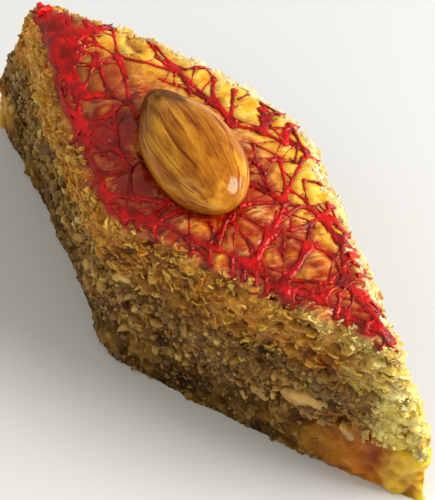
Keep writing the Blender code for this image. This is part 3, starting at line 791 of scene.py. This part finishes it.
def almond_reach(x, y, spare=0.0):
    """Under 1 inside the almond's plan, grown by a spare margin."""
    dx, dy = x - ALMOND_X, y - ALMOND_Y
    along = dx * math.cos(ALMOND_TURN) + dy * math.sin(ALMOND_TURN)
    across = -dx * math.sin(ALMOND_TURN) + dy * math.cos(ALMOND_TURN)
    return (along / (ALMOND_LENGTH / 2 + spare)) ** 2 + (across / (ALMOND_WIDTH / 2 + spare)) ** 2


def top_height(x, y):
    """The top face before its puffs: crowned, taller at the -X tip, lower at the rim."""
    x, y = np.atleast_1d(x), np.atleast_1d(y)
    share = rim_share(x, y)
    rise = TOP_RISE * np.clip((x / MM - CENTRING[0]) / RIM_CORNERS[2][0], 0.0, 1.2)
    height = PIECE_HEIGHT + rise + CROWN * (1.0 - np.minimum(share, 1.0) ** 2)
    height -= RIM_DROP * ease(0.88, 1.0, share)
    height += TOP_WAVE * noise_at(np.stack([x * 170.0, y * 170.0, np.full_like(x, 3.7)], 1))
    reach = almond_reach(x, y, HOLLOW_SPARE)
    hollow = ALMOND_HEIGHT - ALMOND_THICKNESS / 2 * np.sqrt(np.clip(1.0 - reach, 0.0, 1.0)) - HOLLOW_GAP
    return np.where(reach < 1.0, np.minimum(height, hollow), height)


net_x = np.arange(-NET_HALF_X, NET_HALF_X, NET_STEP)
net_y = np.arange(-NET_HALF_Y, NET_HALF_Y, NET_STEP)
net_fill = np.zeros((len(net_x), len(net_y)))
net_weight = np.zeros_like(net_fill)


def lay_strand(plan, radii):
    """Adds a strand to the net's map: 0.5 at its edge, growing inwards and where strands meet."""
    plan, radii = np.asarray(plan), np.asarray(radii)
    spare = 3.0 * radii.max()
    rows = slice(*np.searchsorted(net_x, (plan[:, 0].min() - spare, plan[:, 0].max() + spare)))
    cols = slice(*np.searchsorted(net_y, (plan[:, 1].min() - spare, plan[:, 1].max() + spare)))
    gx, gy = np.meshgrid(net_x[rows], net_y[cols], indexing="ij")
    best = np.full(gx.shape, 99.0)
    width = np.full(gx.shape, radii[0])
    for start, end, r0, r1 in zip(plan[:-1], plan[1:], radii[:-1], radii[1:]):
        line = end - start
        share = np.clip(((gx - start[0]) * line[0] + (gy - start[1]) * line[1]) / (line @ line), 0.0, 1.0)
        radius = r0 + (r1 - r0) * share
        away = np.hypot(gx - start[0] - share * line[0], gy - start[1] - share * line[1]) / radius
        width = np.where(away < best, radius, width)
        best = np.minimum(best, away)
    fill = np.exp(-0.693 * best**2)
    net_fill[rows, cols] += fill
    net_weight[rows, cols] += fill * width


def bent_path(draw, start, end, bend):
    start, end = np.array(start), np.array(end)
    t = np.linspace(0.0, 1.0, max(6, int(np.linalg.norm(end - start) / (0.6 * MM))))
    line = end - start
    across = np.array([-line[1], line[0]])
    wobble = np.sin(math.pi * t) + 0.35 * draw.uniform(-1, 1) * np.sin(2 * math.pi * t)
    return start + line * t[:, None] + across * (draw.uniform(-bend, bend) * wobble)[:, None], t


def on_top(pixels):
    """Where the line of sight through each pixel meets the top face, as plan places."""
    eye = np.array(CAMERA_PLACE)
    middle = np.array(PICTURE) / 2 + np.array([-1.0, 1.0]) * CAMERA_SHIFT * PICTURE[1]
    seen = (np.asarray(pixels) - middle) * np.array([1.0, -1.0]) / PICTURE[1] * CAMERA_SENSOR / CAMERA_LENS
    sight = np.column_stack([seen, -np.ones(len(seen))]) @ np.array(CAMERA_TURN.to_matrix()).T
    height = np.full(len(seen), PIECE_HEIGHT + CROWN / 2)
    for _ in range(6):
        places = eye + sight * ((height - eye[2]) / sight[:, 2])[:, None]
        height = top_height(places[:, 0], places[:, 1])
    return places[:, :2]


draw = random.Random(23)
paths = []
for strands, thin, thick in STRAND_RADII:
    for strand in strands:
        places = on_top(np.reshape(strand, (-1, 2)))
        for start, end in zip(places[:-1], places[1:]):
            path, t = bent_path(draw, start, end, 0.05)
            own = draw.uniform(0.8, 1.2) * MM
            lay_strand(path, own * (thin + (thick - thin) * np.abs(2 * t - 1) ** 4))
            paths.append(path)
# Hair-thin strands that cross between near ones.
for _ in range(HAIR_TRIES):
    first, second = paths[draw.randrange(len(paths))], paths[draw.randrange(len(paths))]
    start = first[draw.randrange(len(first))]
    end = second[draw.randrange(len(second))]
    if HAIR_SPAN[0] < np.linalg.norm(end - start) < HAIR_SPAN[1]:
        path, t = bent_path(draw, start, end, 0.06)
        lay_strand(path, draw.uniform(0.09, 0.15) * MM * (1.0 + 0.8 * np.abs(2 * t - 1) ** 4))
# Short points where a strand broke off.
for _ in range(BROKEN_ENDS):
    path = paths[draw.randrange(len(paths))]
    start = path[draw.randrange(len(path))]
    heading = draw.uniform(0.0, 2.0 * math.pi)
    end = start + draw.uniform(0.6, 2.0) * MM * np.array([math.cos(heading), math.sin(heading)])
    path, t = bent_path(draw, start, end, 0.1)
    lay_strand(path, draw.uniform(0.13, 0.24) * MM * (1.0 - 0.75 * t))

net_radius = net_weight / np.maximum(net_fill, 1e-9)


def net_map(values, x, y):
    """Reads one of the net's maps between its grid points."""
    column = np.clip((x + NET_HALF_X) / NET_STEP, 0, len(net_x) - 1.001)
    row = np.clip((y + NET_HALF_Y) / NET_STEP, 0, len(net_y) - 1.001)
    i, j = column.astype(int), row.astype(int)
    u, v = column - i, row - j
    return (
        values[i, j] * (1 - u) * (1 - v) + values[i + 1, j] * u * (1 - v)
        + values[i, j + 1] * (1 - u) * v + values[i + 1, j + 1] * u * v
    )


def blurred(values, size):
    """The map smoothed over a square of that many metres, twice."""
    count = max(1, int(size / NET_STEP / 2))
    for _ in range(2):
        for axis in (0, 1):
            margins = [(count + 1, count) if a == axis else (0, 0) for a in (0, 1)]
            padded = np.cumsum(np.pad(values, margins, "edge"), axis)
            upper = np.take(padded, range(2 * count + 1, padded.shape[axis]), axis)
            lower = np.take(padded, range(0, padded.shape[axis] - 2 * count - 1), axis)
            values = (upper - lower) / (2 * count + 1)
    return values


net_solid = ease(0.3, 0.7, net_fill)
net_close = blurred(net_solid, 0.8 * MM)
net_broad = blurred(net_solid, 2.4 * MM)


def film_share(x, y, share):
    """1 where the glaze lies: among the strands and a little beyond them."""
    among = ease(0.02, 0.1, net_map(net_broad, x, y))
    return np.maximum(among, ease(0.76, 0.64, share)) * ease(0.965, 0.9, share)


def puffs(x, y, share):
    """How far the glaze swells between the strands."""
    return PUFF_HEIGHT * np.exp(-2.6 * net_map(net_close, x, y)) * film_share(x, y, share)


def sunny_share(x, y, z):
    """1 on the upper edge that faces the window lamp, where its light is painted in as pale colour, for
    places in mm.
    """
    return ease(-1.0, 9.0, y * 0.9 + x * 0.3) * ease(21.5, 25.5, z)


top = layer_block("flaky_top", FILLING_TOP, PIECE_HEIGHT, TOP_GRID, cap_height=top_height)
spots, out = skin_of(top)
x, y, z = spots.T
share = rim_share(x, y)
upward = ease(0.3, 0.8, out[:, 2])
sideways = cut_side(out)
netted = film_share(x, y, share + 0.03 * grain(spots, 300.0, 5.0)) * upward
leaves, splinters, crevice, crumb = crumble(spots, *TOP_CRUMBS)
pits = ease(0.2, 0.08, leaves) * ease(0.0, 0.2, crevice)
crumb = MM * (crumb - 0.6 * pits * ease(-0.2, 0.3, grain(spots, 120.0, 8.0)))
# The rim is lumpier than the rest, and the glaze is creased between the strands.
crumb = crumb + 0.45 * MM * grain(spots, 330.0, 11.0) * ease(21.5, 24.0, z / MM)
# The creases of the glaze also carry a painted sheen in pale colour.
creases = ease(0.16, 0.0, np.abs(grain(spots, 330.0, 12.0))) * netted
bare = np.maximum(sideways, (1.0 - netted) * upward)
swollen = puffs(x, y, share) + CREASE_HEIGHT * creases
push = crumb * bare * (0.6 + 0.4 * sideways) + swollen * upward
level_out = out * np.array([1.0, 1.0, 0.4])
level_out[:, 2] += out[:, 2] * 0.6 * upward
move_points(top, spots + level_out * push[:, None])
# Dye that soaked into the glaze: beside the strands, and in pools near the -X tip and the almond; the pools
# beside the almond also paint its shadow in dark red.
plan_x, plan_y = x / MM - CENTRING[0], y / MM - CENTRING[1]
stain_and_shadow = np.clip(net_map(net_close, x, y) * 0.8 + net_map(net_broad, x, y) * 0.35, 0.0, 1.0)
# Painted glow: where the far glaze faces the window lamp it is painted yellower and less dyed.
window = ease(-1.0, 4.5, plan_y - 0.12 * plan_x) * ease(0.4, 0.75, share)
stain_and_shadow *= 1.0 - 0.35 * window
for px, py, size, strength in DYE_POOLS_AND_SHADOW:
    gap = np.hypot(plan_x - px, plan_y - py) + 1.6 * grain(spots, 260.0, 9.0)
    stain_and_shadow = np.maximum(stain_and_shadow, strength * ease(size, size * 0.3, gap))
# Painted light: pale colour on the upper edge that faces the window lamp, and on the +X tip as a painted
# glow.
sunny = sunny_share(plan_x, plan_y, z / MM)
tip_glow = ease(33.0, 41.0, plan_x + 3.0 * grain(spots, 200.0, 2.0))
keep_masks(
    top, film=netted, creases=creases, window=window, bits=leaves * 0.6 + splinters * 0.4,
    relief=np.clip(0.65 + crumb / (2.4 * MM), 0.0, 1.0),
    dye=np.clip(stain_and_shadow + 0.3 * grain(spots, 520.0, 3.0) * stain_and_shadow, 0.0, 1.0),
    sunny=np.maximum(sunny, tip_glow), far_rim=sunny * ease(-1.0, 1.5, plan_y),
    far_tip=ease(-30.0, -40.0, plan_x) * ease(18.0, 22.0, z / MM),
    low=ease(21.2, 18.0, z / MM + 1.8 * grain(spots, 240.0, 3.0)),
)

look, tree, shader = new_look(
    "flaky_pastry", (0.35, (0.9, 0.46, 0.08), 2.6 * MM), Coat_Roughness=0.05, Specular_IOR_Level=0.45,
)
where = tree.nodes.new("ShaderNodeTexCoord").outputs["Object"]
marks = mottling(tree, 190.0, 800.0, 2600.0)
film, dye = mask_of(tree, "film"), mask_of(tree, "dye")
crumb_colour = mixed_grains(tree, ramp(tree, marks["Patches"], TOP_CRUMB), marks["Tones"], *TOP_GRAINS)
crumb_colour = tint(tree, crumb_colour, FAR_TIP, "far_tip", 0.8)
crumb_colour = tint(tree, crumb_colour, LOW_CRUMB, "low", 0.75)
# Painted light: the pale colour of the lit edge and the glowing tip.
pale = tint(tree, ramp(tree, marks["Patches"], SUNNY), FAR_RIM_HIGHLIGHT, "far_rim", 0.6)
crumb_colour = tint(tree, crumb_colour, pale, "sunny", 0.9)
crumb_colour = shaded(tree, crumb_colour, mask_of(tree, "bits"), TOP_BITS)
# Painted shade where the relief sinks in.
crumb_colour = shaded(tree, crumb_colour, mask_of(tree, "relief"), TOP_HOLLOW_SHADE)
film_patches = mottling(tree, 400.0, 1300.0, 3000.0)["Patches"]
glaze = ramp(tree, film_patches, GLAZE)
# Painted glow of the lit far glaze.
glaze = tint(tree, glaze, ramp(tree, film_patches, WINDOW_GLOW_GLAZE), "window")
# Short creamy leaves of the glaze, drawn out along one direction, here and there, partly fibres and partly a
# painted sheen; the creases get the same painted sheen.
turned = add_node(tree, "ShaderNodeMapping", {"Vector": where}, vector_type="TEXTURE")
turned.inputs["Rotation"].default_value = (0.0, 0.0, math.radians(62.0))
turned.inputs["Scale"].default_value = (3.2, 1.0, 1.0)
fibres = add_node(
    tree, "ShaderNodeTexNoise", {"Vector": turned.outputs[0]}, Scale=1500.0, Detail=3.0, Distortion=0.6,
).outputs["Fac"]
some = spread(tree, marks["Patches"], 0.45, 0.62)
pale_fibres = times(tree, spread(tree, fibres, 0.5, 0.62), some)
pale_leaves_and_sheen = sums(tree, "ADD", times(tree, pale_fibres, 0.7), times(tree, mask_of(tree, "creases"), 0.2))
glaze = tint(tree, glaze, CREAMY_LEAVES_AND_SHEEN, pale_leaves_and_sheen, spread(tree, dye, 0.2, 0.6, 1.0, 0.2))
# Dark dashes of dye lie along the same direction.
dashes = spread(tree, fibres, 0.42, 0.34)
glaze = tint(tree, glaze, RED_DASHES, dashes, spread(tree, dye, 0.02, 0.2, 0.0, 0.7))
# Hairs of dye, too fine to stand up from the glaze.
cells = add_node(tree, "ShaderNodeTexVoronoi", {"Vector": where}, feature="DISTANCE_TO_EDGE", Scale=430.0)
hairs = times(tree, spread(tree, cells.outputs["Distance"], 0.1, 0.02), spread(tree, dye, 0.05, 0.3))
dyed = sums(tree, "MAXIMUM", dye, times(tree, hairs, 0.6))
# Dark red of the dye, and in the pools beside the almond of its painted shadow.
glaze = mix(tree, glaze, ramp(tree, marks["Patches"], RED_STAIN_AND_SHADOW), dyed)
tree.links.new(times(tree, film, 0.35), shader.inputs["Coat Weight"])
tree.links.new(spread(tree, film, 0.0, 1.0, 0.7, 0.16), shader.inputs["Roughness"])
fibre_height = times(tree, times(tree, fibres, some), film)
crumb_height = times(tree, marks["Height"], spread(tree, film, 0.0, 1.0, 0.9, 0.12))
height = sums(tree, "ADD", fibre_height, crumb_height)
wire_up(tree, shader, mix(tree, crumb_colour, glaze, film), height, 0.85, 0.5 * MM)
finish_piece(top, look, "pastry_top")


# Loose flakes of pastry
# Splinters of baked leaf, a fraction of a millimetre thick, stand off the cut sides and rim.

# Against a flake's half length.
FLAKE_WALL = 0.4
SIDE_FLAKES, RIM_FLAKES = 2800, 900


def flake_shapes(draw, count):
    """Small curled plates: a ragged grid, bent and given a thin wall."""
    shapes = []
    for _ in range(count):
        deselect_all()
        bpy.ops.mesh.primitive_grid_add(x_subdivisions=3, y_subdivisions=2, size=2.0)
        flake = bpy.context.object
        curl, twist = draw.uniform(0.1, 0.45), draw.uniform(-0.3, 0.3)
        for vert in flake.data.vertices:
            along = vert.co.x * draw.uniform(0.7, 1.1)
            across = vert.co.y * draw.uniform(0.6, 1.1)
            vert.co = (along, across, curl * along * along + twist * along * across)
        apply_modifier(flake, "SOLIDIFY", thickness=FLAKE_WALL, offset=0.0)
        shapes.append(mesh_arrays(flake))
    return shapes


draw = random.Random(71)
sizes = (0.22 * MM, 0.95 * MM)
flake_places = list(side_places(draw, top, SIDE_FLAKES, sizes, (-0.3, 0.6), (0.4, 0.9), True))
# A few more lie on the bare strip of the top face, just inside its rim.
for _ in range(RIM_FLAKES):
    turn, inward = draw.uniform(0.0, 4.0), draw.uniform(0.86, 0.995)
    plan = outline(np.array([turn]), np.array([PIECE_HEIGHT]))[0] * inward
    if net_map(net_close, plan[:1], plan[1:])[0] > 0.2:
        continue
    height = top_height(plan[0], plan[1])[0] + draw.uniform(-0.1, 0.25) * MM
    size = draw.uniform(0.2, 0.5) * MM
    way = spin("Z", draw.uniform(0.0, 2 * math.pi)) @ spin("X", draw.gauss(0.0, 0.5))
    flake_places.append(((plan[0], plan[1], height), way, (size, size * draw.uniform(0.4, 0.9), size * 0.7)))
flakes = copies("pastry_flakes", flake_shapes(draw, 10), draw, flake_places)
spots = points_of(flakes)
# Painted light on the flakes: pale where they face the window or lie at the +X tip, and a painted highlight
# on the far rim.
plan_x, plan_y = spots[:, 0] / MM - CENTRING[0], spots[:, 1] / MM - CENTRING[1]
sunny = sunny_share(plan_x, plan_y, spots[:, 2] / MM)
keep_masks(flakes, sunny=np.maximum(sunny, ease(33.0, 41.0, plan_x)))
keep_masks(flakes, far_rim=sunny * ease(-1.0, 1.5, plan_y))

look, tree, shader = new_look(
    "pastry_flake", (0.5, (0.9, 0.55, 0.15), 2.0 * MM), Roughness=0.45, Coat_Weight=0.1, Coat_Roughness=0.2,
)
marks, tone = mottling(tree, *FINE_CRUMBS), mask_of(tree, "tone")
own = ramp(tree, tone, [(0.0, (184, 110, 26)), (0.5, (216, 150, 50)), (1.0, (244, 196, 96))])
# Painted light: the pale colour of flakes on the lit edge and at the glowing tip.
pale = ramp(tree, tone, [(0.0, (232, 198, 100)), (0.5, (250, 230, 148)), (1.0, (255, 250, 206))])
own = tint(tree, own, tint(tree, pale, FAR_RIM_HIGHLIGHT, "far_rim", 0.6), "sunny")
own = shaded(tree, own, marks["Patches"], [(0.35, (220, 204, 172)), (0.6, (255, 254, 246))])
wire_up(tree, shader, own, marks["Height"], 0.3, 0.2 * MM)
finish_piece(flakes, look, angle=40.0)


# Drizzled net
# Saffron-dyed batter let fall from a comb in thin strands and baked on. The strands run thin
# between crossings, pull into webbed knots where they meet, and sink a little into the glaze.

NET_FLOOR = 0.45 * MM
NET_LIMIT = 0.34 * MM
NET_LIFT = 0.07 * MM
BATTER_RED = [(0.34, (118, 0, 4)), (0.5, (172, 0, 8)), (0.64, (204, 4, 14))]

spots_x, spots_y = np.meshgrid(net_x, net_y, indexing="ij")
# Round above a strand's edge, where the map is 0.5, and falling away below it.
profile = np.sqrt(np.maximum(net_fill - 0.5, 0.0)) * 1.1 * net_radius
profile = np.minimum(profile - 0.35 * MM * np.maximum(0.5 - net_fill, 0.0), NET_LIMIT)
inside = (net_fill > 0.28) & (rim_share(spots_x, spots_y) < 0.985)
inside &= almond_reach(spots_x, spots_y, -0.4 * MM) > 1.0
cell = inside[:-1, :-1] & inside[1:, :-1] & inside[:-1, 1:] & inside[1:, 1:]
used = np.zeros_like(inside)
for di in (0, 1):
    for dj in (0, 1):
        used[di:used.shape[0] - 1 + di, dj:used.shape[1] - 1 + dj] |= cell
number = np.full(inside.shape, -1)
number[used] = np.arange(used.sum())
sx, sy = spots_x[used], spots_y[used]
share = rim_share(sx, sy)
ground = top_height(sx, sy) + puffs(sx, sy, share) + NET_LIFT
rough = 0.05 * MM * grain(np.stack([sx, sy, ground], 1), 1100.0, 3.0)
upper = np.stack([sx, sy, ground + profile[used] + rough], 1)
lower = np.stack([sx, sy, ground - NET_FLOOR], 1)
i, j = np.nonzero(cell)
quads = np.stack([number[i, j], number[i + 1, j], number[i + 1, j + 1], number[i, j + 1]], 1)
quads = np.concatenate([quads, quads[:, ::-1] + len(sx)])
net = mesh_piece("drizzled_net", np.concatenate([upper, lower]), quads)
# The upper and lower skins are joined by a wall round every edge.
walls = bmesh.new()
walls.from_mesh(net.data)
walls.verts.ensure_lookup_table()
count = len(sx)
for edge in [edge for edge in walls.edges if edge.is_boundary and edge.verts[0].index < count]:
    a, b = edge.verts
    if edge.link_loops[0].vert != a:
        a, b = b, a
    walls.faces.new((b, a, walls.verts[a.index + count], walls.verts[b.index + count]))
walls.to_mesh(net.data)
walls.free()

look, tree, shader = new_look(
    "saffron_batter", (0.15, (1.0, 0.1, 0.06), 1.2 * MM),
    Roughness=0.24, Coat_Weight=0.1, Coat_Roughness=0.08, Specular_IOR_Level=0.35,
)
marks = mottling(tree, 420.0, 1200.0, 3000.0)
wire_up(tree, shader, ramp(tree, marks["Patches"], BATTER_RED), marks["Height"], 0.5, 0.4 * MM)
finish_piece(net, look, angle=80.0)

# Blunt points that stand off the rim where the comb was lifted: turn round the plan, then how
# far the point reaches out over the rim and up from the top face, and its radius, in mm.
SPIKES = (
    (1.99, -0.7, 1.5, 1.6), (2.05, 0.4, 0.4, 0.6), (1.72, -0.3, 0.9, 0.42), (1.06, 0.0, 0.5, 0.5),
    (1.00, 0.1, 0.3, 0.6), (0.84, 0.3, 0.2, 0.5), (0.62, 0.2, 0.2, 0.6), (0.41, 0.3, 0.2, 0.7),
    (0.33, 0.3, 0.2, 0.55), (0.00, 0.4, 0.0, 0.4),
)
SPIKE_ROOT = 2.4 * MM
SPIKE_GRID = 0.12 * MM
SPIKE_STEPS = 8
draw = random.Random(31)
parts = []
for turn, reach_out, reach_up, radius in SPIKES:
    rim, outward, along = side_frame(turn, PIECE_HEIGHT)
    start = rim - outward * SPIKE_ROOT
    end = rim + (outward * reach_out + along * draw.gauss(0.0, 0.5)) * MM
    path = []
    for step in range(SPIKE_STEPS + 1):
        t = step / SPIKE_STEPS
        place = start + (end - start) * t
        # It follows the top face, then curves up.
        path.append((*place, top_height(*place)[0] + (0.1 + reach_up * t * t) * MM))
    curve = bpy.data.curves.new("spike", "CURVE")
    curve.dimensions = "3D"
    curve.bevel_depth = 1.0
    curve.bevel_resolution = 2
    curve.use_fill_caps = True
    line = curve.splines.new("POLY")
    line.points.add(len(path) - 1)
    for step, (point, place) in enumerate(zip(line.points, path)):
        point.co = (*place, 1.0)
        point.radius = radius * MM * (1.0 - 0.75 * step / SPIKE_STEPS)
    parts.append(new_object("spike", curve))
deselect_all()
for part in parts:
    part.select_set(True)
bpy.context.view_layer.objects.active = parts[0]
bpy.ops.object.convert(target="MESH")
bpy.ops.object.join()
spikes = bpy.context.object
spikes.name = "net_spikes"
apply_modifier(spikes, "REMESH", mode="VOXEL", voxel_size=SPIKE_GRID)
apply_modifier(spikes, "SMOOTH", factor=0.5, iterations=3)
finish_piece(spikes, look, angle=80.0)


# Almond
# A whole shelled almond in its brown skin, pressed into the top before baking. The skin is
# wrinkled along its length, with painted shade in the furrows, darker at the pointed tip, and glazed with
# syrup.

# How fast the skin's own map changes along it and round it.
SKIN_RUN = 0.5
SKIN_ROUND = 1.5
# How many veins run along the skin, all round it: the deep ones and the fine ones.
DEEP_VEINS = 15
FINE_VEINS = 31
VEIN_DEPTH = 0.024
SHRIVELLED = 0.06
# Colours: stops of (place, screen colour).
SKIN_BROWN = [(0.3, (140, 78, 12)), (0.5, (178, 112, 26)), (0.68, (220, 162, 58))]
SKIN_STREAKS = [(0.34, (190, 160, 120)), (0.52, (255, 252, 240))]
FURROW_SHADE = [(0.1, (255, 254, 246)), (0.5, (222, 182, 104)), (1.0, (168, 116, 44))]
DARK_TIP = (96, 46, 10)


def almond_width(along):
    """Share of the half width at a place along the almond, -1 being its pointed tip."""
    blunt = np.sqrt(np.maximum(0.0, 1.0 - along * along))
    return blunt * (1.0 + 0.14 * along) * (1.0 - 0.22 * ease(-0.2, -1.0, along))


deselect_all()
bpy.ops.mesh.primitive_uv_sphere_add(segments=300, ring_count=80, radius=1.0)
almond = bpy.context.object
almond.name = "glazed_almond"
spots = points_of(almond)
along = np.clip(spots[:, 2], -1.0, 1.0)
turn = np.arctan2(spots[:, 1], spots[:, 0])
fade = ease(0.995, 0.86, np.abs(along))
# The skin's own map: slowly along it in X, and round it as a circle in Y and Z.
ring = SKIN_ROUND * np.sqrt(1.0 - along * along)
skin_map = np.stack([along * SKIN_RUN, np.cos(turn) * ring, np.sin(turn) * ring], 1)


def veins(count, sway, seed):
    """Thin lines along the skin, unevenly apart, that fade out and come back."""
    line = np.cos(turn * count + sway * noise_at(skin_map + seed))
    strength = noise_at(skin_map * 2.0 + seed + 5.0)
    return ease(0.7, 1.0, line) * ease(-0.15, 0.3, strength)


folds = veins(DEEP_VEINS, 5.0, 1.0)
furrow = np.clip(0.8 * folds + 0.55 * veins(FINE_VEINS, 7.0, 3.0), 0.0, 1.0)
# The pointed tip is shrivelled.
shrunk = ease(-0.5, -0.95, along)
wrinkles = noise_at(skin_map * 3.0)
grown = 1.0 - fade * VEIN_DEPTH * furrow + SHRIVELLED * shrunk * fade * wrinkles
shape = almond_width(along)
body = (np.abs(along) < 0.999).astype(float)
move_points(almond, np.stack([
    along * ALMOND_LENGTH / 2,
    np.cos(turn) * shape * ALMOND_WIDTH / 2 * grown * body,
    np.sin(turn) * shape * ALMOND_THICKNESS / 2 * grown * body,
], 1))
place = Matrix.Translation((ALMOND_X, ALMOND_Y, ALMOND_HEIGHT))
almond.data.transform(place @ Matrix.Rotation(ALMOND_TURN, 4, "Z"))
edit_whole(bpy.ops.mesh.normals_make_consistent, inside=False)
keep_masks(almond, furrow=np.clip(furrow * fade, 0.0, 1.0))
keep_masks(almond, lengthwise=fade)
keep_masks(almond, tip=ease(-0.35, -0.8, along + 0.45 * wrinkles))
made = almond.data.attributes.new("skin_place", "FLOAT_VECTOR", "POINT")
made.data.foreach_set("vector", skin_map.astype(np.float32).ravel())

look, tree, shader = new_look(
    "almond_skin", (0.15, (0.8, 0.4, 0.1), 2.0 * MM),
    Roughness=0.4, Coat_Roughness=0.1, Specular_IOR_Level=0.04,
)
skin = add_node(tree, "ShaderNodeAttribute", attribute_name="skin_place").outputs["Vector"]
broad = add_node(tree, "ShaderNodeTexNoise", {"Vector": skin}, Scale=1.6, Detail=2.0).outputs["Fac"]
streaks = add_node(tree, "ShaderNodeTexNoise", {"Vector": skin}, Scale=7.0, Detail=4.0, Roughness=0.6)
streaks = streaks.outputs["Fac"]
# Near its two ends the streaks run together and fade.
lengthwise = mask_of(tree, "lengthwise")
brown = ramp(tree, broad, SKIN_BROWN)
brown = shaded(tree, brown, streaks, SKIN_STREAKS, times(tree, lengthwise, 0.7))
# Painted shade in the furrows.
brown = shaded(tree, brown, mask_of(tree, "furrow"), FURROW_SHADE)
brown = tint(tree, brown, DARK_TIP, "tip", 0.9)
tree.links.new(spread(tree, mask_of(tree, "tip"), 0.0, 1.0, 0.6, 0.05), shader.inputs["Coat Weight"])
wire_up(tree, shader, brown, times(tree, streaks, lengthwise), 0.5, 0.5 * MM)
finish_piece(almond, look, "almond", angle=80.0)


# Floor, light and camera
# A pale floor under the piece, a large soft lamp from the right and behind, a weak one in
# front, and a camera that looks down on the near cut side.

deselect_all()
bpy.ops.mesh.primitive_plane_add(size=6.0)
floor = bpy.context.object
floor.name = "floor"
floor_look, tree, shader = new_look("pale_floor", Roughness=0.7)
marks = mottling(tree, 3.0, 30.0, 90.0)
pale = ramp(tree, marks["Patches"], [(0.3, (218, 226, 248)), (0.7, (224, 232, 254))])
tree.links.new(pale, shader.inputs["Base Color"])
floor.data.materials.append(floor_look)

ROOM_COLOUR = (1.0, 0.92, 0.72)
world = bpy.data.worlds.new("soft_room")
bpy.context.scene.world = world
bpy.context.scene.view_settings.view_transform = "Standard"
world.use_nodes = True
sky = world.node_tree.nodes["Background"].inputs
sky["Color"].default_value = (*ROOM_COLOUR, 1.0)
sky["Strength"].default_value = 0.4


def soft_lamp(name, place, size, power, colour):
    lamp = new_object(name, bpy.data.lights.new(name, "AREA"))
    lamp.data.size = size
    lamp.data.energy = power
    lamp.data.color = colour
    lamp.location = place
    lamp.rotation_mode = "QUATERNION"
    lamp.rotation_quaternion = Vector(place).to_track_quat("Z", "Y")


soft_lamp("window", (0.42, 0.40, 0.36), 0.4, 7.4, ROOM_COLOUR)
soft_lamp("fill", (0.0, -0.56, 0.45), 0.5, 1.15, (1.0, 0.88, 0.58))

camera = new_object("camera", bpy.data.cameras.new("camera"))
bpy.context.scene.camera = camera
camera.location = CAMERA_PLACE
camera.rotation_mode = "QUATERNION"
camera.rotation_quaternion = CAMERA_TURN
camera.data.sensor_width = CAMERA_SENSOR
camera.data.lens = CAMERA_LENS
camera.data.shift_x, camera.data.shift_y = CAMERA_SHIFT
camera.data.clip_start = 0.01
